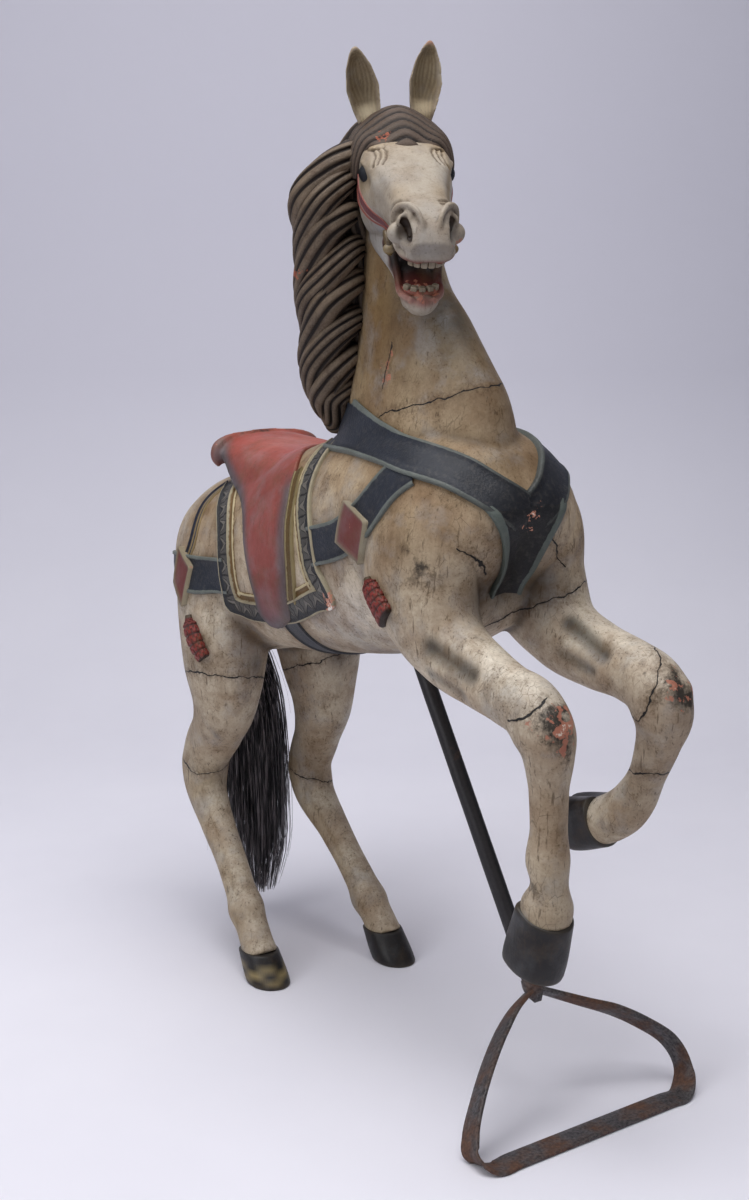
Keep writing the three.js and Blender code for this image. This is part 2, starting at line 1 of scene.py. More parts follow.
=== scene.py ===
"""A carved and painted carousel horse on its iron prop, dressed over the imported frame."""

import math

import bpy
import numpy as np
from mathutils import Matrix, Vector
from mathutils.bvhtree import BVHTree


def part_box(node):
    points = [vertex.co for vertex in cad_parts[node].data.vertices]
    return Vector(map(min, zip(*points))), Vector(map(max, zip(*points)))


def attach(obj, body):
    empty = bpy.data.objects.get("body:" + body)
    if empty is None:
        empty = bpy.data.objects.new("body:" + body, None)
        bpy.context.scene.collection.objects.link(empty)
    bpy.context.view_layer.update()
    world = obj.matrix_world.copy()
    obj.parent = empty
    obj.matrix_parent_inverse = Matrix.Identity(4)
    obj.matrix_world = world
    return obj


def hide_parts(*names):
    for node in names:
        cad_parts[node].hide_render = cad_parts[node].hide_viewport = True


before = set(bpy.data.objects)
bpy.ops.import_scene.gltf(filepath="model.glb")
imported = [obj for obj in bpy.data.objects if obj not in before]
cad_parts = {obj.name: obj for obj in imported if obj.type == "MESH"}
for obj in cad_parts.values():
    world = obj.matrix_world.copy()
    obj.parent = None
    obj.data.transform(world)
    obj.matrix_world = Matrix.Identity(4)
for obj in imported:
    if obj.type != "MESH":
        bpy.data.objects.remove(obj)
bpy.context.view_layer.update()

# ---------------------------------------------------------------- the carver's frame
# Tables are in millimetres, with the foot bar of the prop near Y = 0, as the part's source has them.

MM = 0.001
FOOT_BAR_FRONT = -0.034  # the foot bar's front edge in the carver's frame
rod_low, rod_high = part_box("support_rod")
ORIGIN = np.array([(rod_low.x + rod_high.x) / 2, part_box("support_foot")[0].y - FOOT_BAR_FRONT, 0.0])

X, Y, Z = np.eye(3)


def unit(v):
    return v / np.maximum(np.linalg.norm(v, axis=-1, keepdims=True), 1e-9)


def spline(points, t):
    """A centripetal Catmull-Rom curve through the points, at t from 0 to 1."""
    p = np.array(points, float)
    p = np.vstack([2 * p[0] - p[1], p, 2 * p[-1] - p[-2]])
    along = np.clip(np.asarray(t, float), 0, 1) * (len(p) - 3)
    i = np.minimum(along.astype(int), len(p) - 4)
    w = (along - i)[:, None]
    a, b, c, d = p[i], p[i + 1], p[i + 2], p[i + 3]
    ab, bc, cd = (np.sqrt(np.linalg.norm(v, axis=1))[:, None] for v in (b - a, c - b, d - c))
    bc = np.where(bc < 1e-2, 1, bc)
    ab, cd = np.where(ab < 1e-2, bc, ab), np.where(cd < 1e-2, bc, cd)
    start = ((b - a) / ab - (c - a) / (ab + bc) + (c - b) / bc) * bc
    end = ((c - b) / bc - (d - b) / (bc + cd) + (d - c) / cd) * bc
    return b + start * w + (3 * (c - b) - 2 * start - end) * w**2 + (2 * (b - c) + start + end) * w**3


def even(points, count):
    """Points at equal steps along the curve."""
    fine = spline(points, np.linspace(0, 1, 500))
    run = np.r_[0, np.cumsum(np.linalg.norm(np.diff(fine, axis=0), axis=1))]
    steps = np.linspace(0, run[-1], count)
    return np.stack([np.interp(steps, run, fine[:, k]) for k in range(fine.shape[1])], 1)


def tangents(points, t):
    return unit(spline(points, np.minimum(t + 1e-3, 1)) - spline(points, np.maximum(t - 1e-3, 0)))


def loft(stations, rings, sides, side=X, square=2.0):
    """Rings of [x, y, z, half width, reach a, reach b] along a spine; reach a is along tangent x side."""
    s = np.array(stations, float)
    t = np.linspace(0, 1, rings + 1)
    spine, size = spline(s[:, :3], t), spline(s[:, 3:6], t)
    across = unit(np.cross(tangents(s[:, :3], t), side))
    angle = np.linspace(0, 2 * math.pi, sides, endpoint=False)
    bulge = lambda v: np.sign(v) * np.abs(v) ** (2 / square)
    c, s2 = bulge(np.cos(angle)), bulge(np.sin(angle))
    reach = np.where(s2 > 0, size[:, 1:2], size[:, 2:3]) * s2
    return spine[:, None] + size[:, :1, None] * c[:, None] * side + reach[:, :, None] * across[:, None]


def lock(stations, rings, sides, strands=0, depth=0.0, slant=0.0, phase=0.6):
    """A lock of hair on a rounded form, [point, core, half width, half thickness], cut into strands by
    grooves. A slant leads the grooves towards one edge on both sides of the middle. Returns its rings and how
    deep in a groove each point lies, from 0 to 1."""
    t = np.linspace(0, 1, rings + 1)
    points = [s[0] for s in stations]
    path, cores = spline(points, t), spline([s[1] for s in stations], t)
    size = spline([s[2:4] for s in stations], t)
    tangent = tangents(points, t)
    outward = path - cores
    outward = unit(outward - (outward * tangent).sum(1, keepdims=True) * tangent)
    across = np.cross(tangent, outward)
    angle = np.linspace(0, 2 * math.pi, sides, endpoint=False)
    lane = np.broadcast_to(np.cos(angle), (rings + 1, sides))
    groove = np.zeros_like(lane)
    if strands:
        sweep = slant * np.abs(2 * t - 1) + phase + 0.5 * np.sin(t * 5 + phase * 3)
        groove = np.abs(np.cos(lane * strands * math.pi / 2 + sweep[:, None])) ** 9
        groove = np.maximum(groove, np.clip((np.abs(lane) - 0.86) / 0.14, 0, 1)) * (np.sin(angle) > -0.3)
    wide = size[:, :1] * lane
    thick = size[:, 1:2] * np.sin(angle) - np.minimum(depth, size[:, 1:2] * 0.5) * groove
    return path[:, None] + wide[..., None] * across[:, None] + thick[..., None] * outward[:, None], groove


def skin(grid, closed=True):
    """Vertices and faces of rings of points, with a cap on both ends if it is closed."""
    here = np.arange(grid.shape[0] * grid.shape[1]).reshape(grid.shape[:2])
    beside = np.roll(here, -1, 1)
    faces = np.stack([here[:-1], beside[:-1], beside[1:], here[1:]], -1).reshape(-1, 4).tolist()
    if closed:
        faces += [here[0, ::-1].tolist(), here[-1].tolist()]
    return grid.reshape(-1, 3), faces


def sheet(grid):
    """Vertices and faces of an open sheet of points."""
    here = np.arange(grid.shape[0] * grid.shape[1]).reshape(grid.shape[:2])
    faces = np.stack([here[:-1, :-1], here[:-1, 1:], here[1:, 1:], here[1:, :-1]], -1).reshape(-1, 4)
    return grid.reshape(-1, 3), faces.tolist()


def ball(centre, radii, directions=np.eye(3), corner=1.0, count=12):
    """A ball with its radii along three directions; a low corner power makes it a block with soft corners."""
    turn, rise = np.mgrid[0:count * 2, 0:count + 1]
    turn, rise = turn * math.pi / count, (rise / count - 0.5) * math.pi * 0.98
    p = np.stack([np.cos(turn) * np.cos(rise), np.sin(turn) * np.cos(rise), np.sin(rise)], -1)
    p = np.sign(p) * np.abs(p) ** corner
    return skin(np.swapaxes(np.asarray(centre) + (p * radii) @ directions, 0, 1))


def ring_tube(centre, axis_a, axis_b, wire, count=32):
    """A closed ring of wire, its ellipse spanned by two radii given as vectors."""
    turn = np.linspace(0, 2 * math.pi, count + 1)
    path = np.asarray(centre) + np.cos(turn)[:, None] * axis_a + np.sin(turn)[:, None] * axis_b
    radial, normal = unit(path - centre), unit(np.cross(axis_a, axis_b))
    around = np.linspace(0, 2 * math.pi, 12, endpoint=False)
    section = np.cos(around)[:, None] * radial[:, None] + np.sin(around)[:, None] * normal
    return skin(path[:, None] + wire * section, closed=False)


def together(shells):
    """Several shells as one list of vertices and faces."""
    verts, faces, start = [], [], 0
    for v, f in shells:
        verts.append(np.asarray(v))
        faces += [[start + n for n in face] for face in f]
        start += len(v)
    return np.vstack(verts), faces


# ---------------------------------------------------------------- colours and materials


def srgb(text):
    """A hex colour turned linear."""
    parts = np.array([int(text[n:n + 2], 16) for n in (0, 2, 4)]) / 255
    return np.where(parts <= 0.04045, parts / 12.92, ((parts + 0.055) / 1.055) ** 2.4)


def two_tone(weight, under, over):
    """Paint that passes from one colour to another with the weight of each point."""
    return srgb(under) + (srgb(over) - srgb(under)) * weight[..., None]


class Finish:
    """A material in the making. Its patterns are node outputs from 0 to 1, placed on the object in metres."""

    def __init__(self, name, roughness=0.5, specular=0.5):
        self.material = bpy.data.materials.new(name)
        self.material.use_nodes = True
        self.tree = self.material.node_tree
        self.shader = self.tree.nodes["Principled BSDF"]
        self.shader.inputs["Roughness"].default_value = roughness
        self.shader.inputs["Specular IOR Level"].default_value = specular
        self.place = self.add("TexCoord", out="Object")

    def add(self, kind, inputs=(), out=0, **settings):
        """Adds a node, named with its operation if it has one, and returns one of its outputs. The inputs are
        given in the order of its sockets or by name, each as a value or as the output of another node."""
        kind, _, operation = kind.partition(" ")
        if operation:
            settings["operation"] = operation
        node = self.tree.nodes.new("ShaderNode" + kind)
        for name, value in settings.items():
            setattr(node, name, value)
        for socket, value in inputs.items() if isinstance(inputs, dict) else enumerate(inputs):
            if isinstance(value, bpy.types.NodeSocket):
                self.tree.links.new(value, node.inputs[socket])
            else:
                node.inputs[socket].default_value = value
        return node.outputs[out]

    def spots(self, size_mm, low, high, detail=4.0, stretch=(1, 1, 1), seed=0.0):
        """Soft spots about size_mm across: 0 where their noise is at low, 1 where it is at high."""
        shift = (seed, seed * 0.7, seed * 0.3)
        moved = self.add("Mapping", {"Vector": self.place, "Scale": stretch, "Location": shift})
        grain = {"Vector": moved, "Scale": 1000 / size_mm, "Detail": detail, "Roughness": 0.6}
        return self.add("MapRange", (self.add("TexNoise", grain), low, high))

    def weighed(self, *parts):
        """The sum of patterns, each times its weight."""
        total = 0.0
        for pattern, weight in parts:
            total = self.add("Math MULTIPLY_ADD", (pattern, weight, total))
        return total

    def coats(self, tone, coats):
        """Lays coats over the tone in turn: [pattern, strength, colour, how it blends if not plainly]."""
        ink = lambda colour: (*srgb(colour), 1) if isinstance(colour, str) else colour
        for pattern, strength, colour, *blend in coats:
            share = self.add("Math MULTIPLY", (pattern, strength))
            tone = self.add("Mix", {0: share, 6: ink(tone), 7: ink(colour)}, out=2, data_type="RGBA",
                            blend_type=blend[0] if blend else "MIX")
        return tone

    def done(self, tone, relief=None, depth_mm=0.0, **patterns):
        """Gives the shader its tone, its relief and any other pattern, and returns the material."""
        patterns["Base Color"] = tone
        if relief:
            bump = {"Height": relief, "Distance": depth_mm * MM, "Strength": 0.6}
            patterns["Normal"] = self.add("Bump", bump)
        for socket, pattern in patterns.items():
            self.tree.links.new(pattern, self.shader.inputs[socket])
        return self.material


# Joints between the carved blocks, opened by age: [a point on the joint, its normal, its reach], in mm.
SEAMS = [
    [(-60, 360, 1051), (0.128, -0.247, -0.960), 190], [(-84, 400, 1113), (0.0, 1.0, 0.1), 36],
    [(-110, 820, 540), (0.18, 0.12, 0.97), 130], [(92, 806, 551), (-0.1, 0.3, 0.95), 130],
    [(-118, 905, 340), (-0.3, -0.3, 0.9), 75], [(110, 886, 290), (0.2, -0.2, 0.96), 75],
    [(60, 197, 759), (-0.3, 0.2, 0.93), 95], [(90, -5, 672), (-0.82, 0.42, 0.38), 60],
    [(92, -15, 541), (0.12, 0.1, 0.98), 52], [(-140, -12, 668), (-0.5, 0.3, 0.8), 34],
    [(60, 175, 858), (0.75, 0.25, 0.6), 55], [(-92, 203, 836), (0.5, 0.4, 0.77), 44],
]


def open_seams(finish):
    """How far a point lies in one of the opened joints, from 0 to 1, and a wider band of grime along them."""
    add, spots, weighed = finish.add, finish.spots, finish.weighed
    # A joint wanders by up to 6.4 mm either way, and jags by less than a millimetre.
    wander, jag = spots(30, 0.2, 0.8, detail=2.0), spots(6, 0.2, 0.8, detail=3.0)
    wander = weighed((wander, 0.011), (jag, 0.0018), (1, -0.0064))
    nearest = 1.0
    for point, normal, reach in SEAMS:
        middle, normal = np.array(point) * MM + ORIGIN, unit(np.array(normal))
        level = add("VectorMath DOT_PRODUCT", (finish.place, tuple(normal)), out="Value")
        gap = add("Math ABSOLUTE", (weighed((level, 1), (wander, 1), (1, -middle @ normal)),))
        away = add("VectorMath DISTANCE", (finish.place, tuple(middle)), out="Value")
        beyond = add("Math MAXIMUM", (weighed((away, 1), (1, -reach * MM)), 0.0))
        nearest = add("Math MINIMUM", (nearest, weighed((gap, 1), (beyond, 1))))
    # The gap is wider in some stretches, and closes to a hair line in others.
    tight = weighed((spots(26, 0.3, 0.7, seed=7.0), 0.0011), (1, 0.0002))
    crack = add("MapRange", (nearest, weighed((tight, 1), (1, 0.0005)), tight))
    return crack, add("MapRange", (nearest, 0.014, 0.001))


def painted_wood(name, seams=False, chips=0.55, warmth=0.5, gloss=0.55, age=1.0):
    """Oil paint on carved lime wood, rubbed by riders: the tone comes from the piece's own paint, with brown
    grime and painted shade in the hollows, pale rubbed edges, scratches, and chips down to pink undercoat and
    bare wood."""
    finish = Finish(name, specular=0.35)
    add, spots, weighed = finish.add, finish.spots, finish.weighed
    soot, wear = (add("Attribute", out="Fac", attribute_name=mark) for mark in ("soot", "wear"))
    clouds = spots(90, 0.38, 0.66, seed=1.0)
    patches = spots(34, 0.48, 0.68, detail=9.0, seed=2.0)
    streaks = spots(18, 0.5, 0.8, detail=6.0, stretch=(1, 1, 0.3), seed=3.0)
    mottle = spots(5, 0.35, 0.75, detail=8.0, seed=4.0)
    # The varnish has cracked into plates 14 mm wide and twice as tall.
    tall = add("Mapping", {"Vector": finish.place, "Scale": (1, 1, 0.45)})
    plates = add("TexVoronoi", {"Vector": tall, "Scale": 1000 / 14}, out="Distance",
                 feature="DISTANCE_TO_EDGE")
    crackle = add("MapRange", (plates, 0.035, 0.0))
    specks = spots(3.5, 0.53, 0.66, detail=8.0, seed=9.0)
    smudge = add("MapRange", (weighed((soot, 0.8), (patches, 0.6), (mottle, 0.25)), 0.5, 0.9))
    pointed = add("NewGeometry", out="Pointiness")
    worn = weighed((wear, 0.3), (spots(16, 0.0, 1.0, detail=8.0, seed=6.0), 1))
    chip = add("MapRange", (worn, chips + 0.2, chips + 0.23))
    tone = finish.coats(add("Attribute", out="Color", attribute_name="paint"), [
        # Old varnish yellowed in clouds a hand's breadth across, and blue-grey bloom where it has gone.
        (clouds, warmth, "9c7444", "MULTIPLY"),
        (spots(55, 0.5, 0.66, detail=6.0, seed=8.0), 0.35 * age, "8b8e92"),
        # Brown dirt rubbed into the paint, in patches, in drips down the grain, in mottles and in scratches.
        (patches, 0.5 * age, "6b5233"),
        (streaks, 0.4 * age, "8d7556", "MULTIPLY"),
        (mottle, 0.28 * age, "ab9a84", "MULTIPLY"),
        (spots(5, 0.6, 0.67, detail=5.0, stretch=(1, 1, 0.12), seed=5.0), 0.65 * age, "46341f"),
        # Specks of dirt in the brush marks, thickest where the patches are, the crackle, and soot.
        (specks, weighed((patches, 0.6 * age), (1, 0.25 * age)), "4f3a20"),
        (crackle, weighed((spots(40, 0.5, 0.62, seed=10.0), 0.55 * age)), "4a3822"),
        (smudge, add("Math MINIMUM", (weighed((soot, 2.0)), 0.92)), "1f1b17"),
        # Dirt and painted shade darken the hollows, and the high edges are rubbed pale.
        (add("MapRange", (pointed, 0.49, 0.42)), 0.8, "33251a"),
        (add("MapRange", (pointed, 0.52, 0.6)), 0.35 * min(1, age * 1.5), "c2b297"),
        # Chips: a pink undercoat with bare wood in the middle, where the piece is marked as worn.
        (chip, 0.75, "b0705a"),
        (add("MapRange", (worn, chips + 0.34, chips + 0.36)), 0.8, "cfc5b6"),
    ])
    relief = [(mottle, 0.3), (streaks, 0.4), (chip, -0.5)]
    if seams:
        crack, grime = open_seams(finish)
        tone = finish.coats(tone, [(grime, weighed((mottle, 0.8)), "4a3522"), (crack, 1, "0f0b08")])
        relief.append((crack, -2.5))
    rough = add("MapRange", (clouds, 0, 1, gloss - 0.08, gloss + 0.14))
    return finish.done(tone, weighed(*relief), 0.9, Roughness=rough)


def carved_hair(name, back="6a5a49", rubbed=0.45):
    """Brown-grey oil paint on carved locks: dark brown and painted shade lie in the grooves, the backs are
    rubbed grey.
    """
    finish = Finish(name, roughness=0.6, specular=0.35)
    add, spots = finish.add, finish.spots
    groove, wear = (add("Attribute", out="Fac", attribute_name=mark) for mark in ("groove", "wear"))
    grain = spots(3, 0.3, 0.7, detail=6.0, seed=1.0)
    worn = finish.weighed((wear, 0.3), (spots(12, 0.0, 1.0, detail=6.0, seed=5.0), 1))
    tone = finish.coats(back, [
        (spots(60, 0.35, 0.7), 1, "42352a"),
        (grain, rubbed, "8c7b68"),
        (spots(24, 0.5, 0.7, detail=6.0, seed=2.0), 0.6, "4a3524"),
        # Dark brown paint and painted shade in the grooves and the hollows.
        (add("MapRange", (groove, 0.08, 0.5)), 1, "1c120c"),
        (add("MapRange", (add("NewGeometry", out="Pointiness"), 0.49, 0.42)), 0.8, "1f150e"),
        (add("MapRange", (worn, 0.76, 0.78)), 0.8, "a3583f"),
    ])
    return finish.done(tone, finish.weighed((grain, 1), (groove, -0.6)), 0.8)


def banded_paint(name, bands, carving=None):
    """Flat oil colours laid in bands across a carved strap: [upper edge across the strap in mm, colour]."""
    finish = Finish(name, specular=0.4)
    add, spots, weighed = finish.add, finish.spots, finish.weighed
    run, lane = (add("SeparateXYZ", (add("TexCoord", out="UV"),), out=axis) for axis in "XY")
    # The painter's hand wavers by less than a millimetre either way.
    lane_mm = weighed((spots(9, 0.2, 0.8), 1.6), (1, -0.8), (lane, 1000))
    tone = finish.coats(bands[0][1], [(add("MapRange", (lane_mm, edge - 0.3, edge + 0.3)), 1, colour)
                                      for (edge, _), (_, colour) in zip(bands, bands[1:])])
    relief = [(spots(4, 0.3, 0.7, detail=6.0), 1)]
    if carving:
        line, facet_light = carving(finish, run, lane)
        # Painted shade in the cut lines and painted light on the paler facets.
        tone = finish.coats(tone, [(facet_light, 0.7, "7c776e"), (line, 0.9, "0e0f10")])
        relief += [(line, -3.0), (facet_light, -1.5)]
    shade, wear = (add("Attribute", out="Fac", attribute_name=mark) for mark in ("shade", "wear"))
    worn = weighed((wear, 0.35), (spots(15, 0.0, 1.0, seed=5.0), 1))
    tone = finish.coats(tone, [
        (spots(45, 0.35, 0.72, seed=1.0), 0.45, "8a7a68", "MULTIPLY"),
        (shade, 0.9, "101014"),
        (spots(8, 0.5, 0.8, detail=6.0, seed=2.0), 0.15, "8c8479"),
        (add("MapRange", (worn, 0.84, 0.86)), 1, "c4876f"),
        (add("MapRange", (worn, 0.92, 0.94)), 1, "e6e0d6"),
    ])
    return finish.done(tone, weighed(*relief), 0.7)


def zigzag(finish, run, lane):
    """Lines cut as a zigzag with a rib up each triangle, 34 mm to a repeat, between the border's two edges.
    Returns the cut lines, painted dark as shade, and the facets, paler on one side as painted light."""
    add, weighed = finish.add, finish.weighed
    size = lambda value: add("Math ABSOLUTE", (value,))
    inside = add("Math LESS_THAN", (size(weighed((lane, 1), (1, -0.001))), 0.0125))
    fold = add("Math PINGPONG", (run, 0.017))
    slant, rib = (weighed((fold, slope), (lane, -1), (1, -0.0125)) for slope in (1.5, 0.75))
    cut = add("Math MINIMUM", (size(slant), size(rib)))
    cut = add("Math MINIMUM", (cut, size(weighed((fold, 1), (1, -0.0004)))))
    facet_light = add("Math MULTIPLY", (add("Math GREATER_THAN", (slant, 0.0)), add("Math LESS_THAN", (rib, 0.0))))
    facet_light = weighed((facet_light, 1), (add("Math LESS_THAN", (slant, 0.0)), 0.45))
    line = add("MapRange", (cut, 0.0017, 0.0006))
    return [add("Math MULTIPLY", (part, inside)) for part in (line, facet_light)]


def wrought_iron(name, rust):
    """Hand-forged mild steel: dark scale rubbed to grey, with patches of red rust and a pitted face."""
    finish = Finish(name)
    patches = finish.spots(60, 0.66 - 0.3 * rust, 0.82 - 0.3 * rust, detail=8.0)
    grain = finish.spots(5, 0.3, 0.7, detail=6.0, seed=1.0)
    rusty = finish.coats("43302a", [(grain, 1, "6b4c3a")])
    tone = finish.coats("2e2c2e", [(grain, rust, "7a7574"), (patches, 1, rusty)])
    metallic = finish.add("MapRange", (patches, 0, 1, 0.6, 0.1))
    rough = finish.add("MapRange", (patches, 0, 1, 0.46, 0.85))
    return finish.done(tone, grain, 0.3 + 0.3 * rust, Metallic=metallic, Roughness=rough)


def horsehair():
    """Black horsehair, glossy, with painted highlights streaked grey along it."""
    finish = Finish("horsehair", roughness=0.38)
    # Painted highlights: grey streaks along the hair.
    painted_sheen = finish.spots(5, 0.48, 0.62, stretch=(1, 1, 0.03))
    return finish.done(finish.coats("141214", [(painted_sheen, 1, "a1989a")]))


def seamless_paper(side):
    """Matt white background paper, faintly clouded. Painted shade darkens it up the wall, most so at the far
    right.
    """
    finish = Finish("seamless_paper", roughness=0.9)
    height = finish.add("SeparateXYZ", (finish.place,), out="Z")
    across = finish.add("VectorMath DOT_PRODUCT", (finish.place, tuple(side)), out="Value")
    # Painted shade: darker as the paper rises from the floor, and darker still towards the far right.
    wall = finish.coats("d4d3de", [(finish.add("MapRange", (across, 0.3, 2.6)), 1, "b9b9c5")])
    risen = finish.add("MapRange", (height, 0.0, 0.9))
    return finish.done(finish.coats("e8e7f0", [(finish.spots(900, 0.3, 0.7), 1, "efeef6"), (risen, 1, wall)]))


# ---------------------------------------------------------------- pieces


def piece(name, shape, material, slot="painted_wood", uv=None, **marks):
    """A named piece from vertices in mm and faces, riding on the horse's body. A mark, such as its paint or
    its wear, is one value for the whole piece or one for each vertex."""
    verts, faces = shape
    data = bpy.data.meshes.new(name)
    data.from_pydata((verts * MM + ORIGIN).tolist(), [], faces)
    data.shade_smooth()
    for mark, values in marks.items():
        if mark == "paint":
            colours = np.ones((len(verts), 4))
            colours[:, :3] = srgb(values) if isinstance(values, str) else values
            data.attributes.new(mark, "FLOAT_COLOR", "POINT").data.foreach_set("color", colours.ravel())
        else:
            amounts = np.full(len(verts), values, float)
            data.attributes.new(mark, "FLOAT", "POINT").data.foreach_set("value", amounts)
    if uv is not None:
        corner = np.zeros(len(data.loops), int)
        data.loops.foreach_get("vertex_index", corner)
        data.uv_layers.new(name="UVMap").data.foreach_set("uv", uv[corner].ravel())
    obj = bpy.data.objects.new(name, data)
    bpy.context.collection.objects.link(obj)
    data.materials.append(material)
    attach(obj, "root")
    return obj


class Carving:
    """A skin of small square cells that is pushed in and out like carved wood. All in mm."""

    def __init__(self, shells, cell, rounds):
        verts, faces = together(shells)
        data = bpy.data.meshes.new("rough")
        data.from_pydata(verts.tolist(), [], faces)
        rough = bpy.data.objects.new("rough", data)
        bpy.context.collection.objects.link(rough)
        cells = rough.modifiers.new("cells", "REMESH")
        cells.mode = "VOXEL"
        cells.voxel_size = cell
        made = rough.evaluated_get(bpy.context.evaluated_depsgraph_get())
        mesh = made.to_mesh()
        self.co = np.zeros(len(mesh.vertices) * 3)
        mesh.vertices.foreach_get("co", self.co)
        self.co = self.co.reshape(-1, 3)
        self.faces = [list(p.vertices) for p in mesh.polygons]
        edges = np.zeros(len(mesh.edges) * 2, int)
        mesh.edges.foreach_get("vertices", edges)
        self.edges = edges.reshape(-1, 2)
        made.to_mesh_clear()
        bpy.data.objects.remove(rough)
        self.paint = None
        self.wear = np.zeros(len(self.co))
        self.soot = np.zeros(len(self.co))
        self.soften(rounds)

    def soften(self, rounds, keep=True):
        """Averages each point with its neighbours, then swells a little if thin parts are to stay thick."""
        a, b = self.edges.T
        size = len(self.co)
        count = np.bincount(a, minlength=size) + np.bincount(b, minlength=size)
        for step in range(rounds * (2 if keep else 1)):
            total = np.stack([np.bincount(a, self.co[b, k], size) + np.bincount(b, self.co[a, k], size)
                              for k in range(3)], 1)
            move = total / np.maximum(count, 1)[:, None] - self.co
            self.co = self.co + move * (-0.5 if keep and step % 2 else 0.55)

    def normals(self):
        quads = np.array([f if len(f) == 4 else f + f[-1:] for f in self.faces])
        p = self.co[quads]
        n = np.cross(p[:, 2] - p[:, 0], p[:, 3] - p[:, 1])
        total = lambda k: sum(np.bincount(quads[:, c], n[:, k], len(self.co)) for c in range(4))
        return unit(np.stack([total(k) for k in range(3)], 1))

    def hollows(self, rounds, depth):
        """From 0 to 1, how deep each point lies between the forms around it."""
        sharp = self.co.copy()
        self.soften(rounds, keep=False)
        smooth, self.co = self.co, sharp
        return np.clip(((smooth - sharp) * self.normals()).sum(1) / depth, 0, 1)

    def cloud(self, centre, radii):
        """1 at the centre, falling to nothing past the radii."""
        return np.exp(-(((self.co - centre) / radii) ** 2).sum(1))

    def near(self, points):
        """The distance to a line through points."""
        points = np.asarray(points, float)
        best = np.full(len(self.co), 1e9)
        for a, b in zip(points[:-1], points[1:]):
            ab = b - a
            t = np.clip((self.co - a) @ ab / max(ab @ ab, 1e-9), 0, 1)
            best = np.minimum(best, np.linalg.norm(self.co - a - t[:, None] * ab, axis=1))
        return best

    def along(self, points, width, power=2):
        """1 on a line through points, falling to nothing past the width, more abruptly for a higher power."""
        return np.exp(-(self.near(points) / width) ** power)

    def laid(self, points):
        """The line through points, each moved to the nearest point of the skin."""
        line = even(points, 16)
        return np.array([self.co[np.linalg.norm(self.co - p, axis=1).argmin()] for p in line])

    def push(self, weight, height):
        self.co += self.normals() * (weight * height)[:, None]

    def swell(self, centres, radii, height):
        for centre in centres:
            self.push(self.cloud(centre, radii), height)

    def groove(self, points, width, depth):
        self.push(self.along(even(points, 24), width), -depth)

    def ground(self, colour):
        self.paint = np.tile(srgb(colour), (len(self.co), 1))

    def brush(self, weight, colour):
        """Lays a colour over the paint."""
        self.paint += (srgb(colour) - self.paint) * np.clip(weight, 0, 1)[:, None]

    def dab(self, centre, radii, strength, colour):
        self.brush(strength * self.cloud(centre, radii), colour)


def both(rows):
    """Rows that start with a place on the horse's left side, with their mirror images."""
    return rows + [[(-c[0], c[1], c[2]), *rest] for c, *rest in rows]


# ---------------------------------------------------------------- body

TRUNK = [
    [0, 176, 850, 40, 40, 40], [0, 190, 856, 105, 95, 90], [0, 222, 862, 142, 148, 128],
    [0, 290, 868, 156, 182, 162], [0, 400, 860, 157, 197, 170], [0, 500, 832, 158, 197, 172],
    [0, 600, 803, 158, 187, 176], [0, 700, 776, 156, 176, 166], [0, 800, 752, 156, 165, 163],
    [0, 900, 728, 154, 165, 165], [0, 980, 706, 140, 150, 150], [0, 1035, 690, 105, 110, 110],
    [0, 1065, 682, 40, 40, 40],
]
NECK = [
    [0, 420, 800, 110, 180, 180], [0, 410, 940, 112, 190, 192], [0, 405, 1020, 98, 185, 180],
    [-4, 412, 1080, 84, 165, 158], [-8, 422, 1150, 69, 138, 116], [-12, 437, 1215, 58, 115, 76],
    [-12, 452, 1290, 53, 95, 58], [-6, 472, 1360, 54, 82, 62], [0, 492, 1420, 50, 68, 56],
    [4, 502, 1462, 38, 48, 40],
]
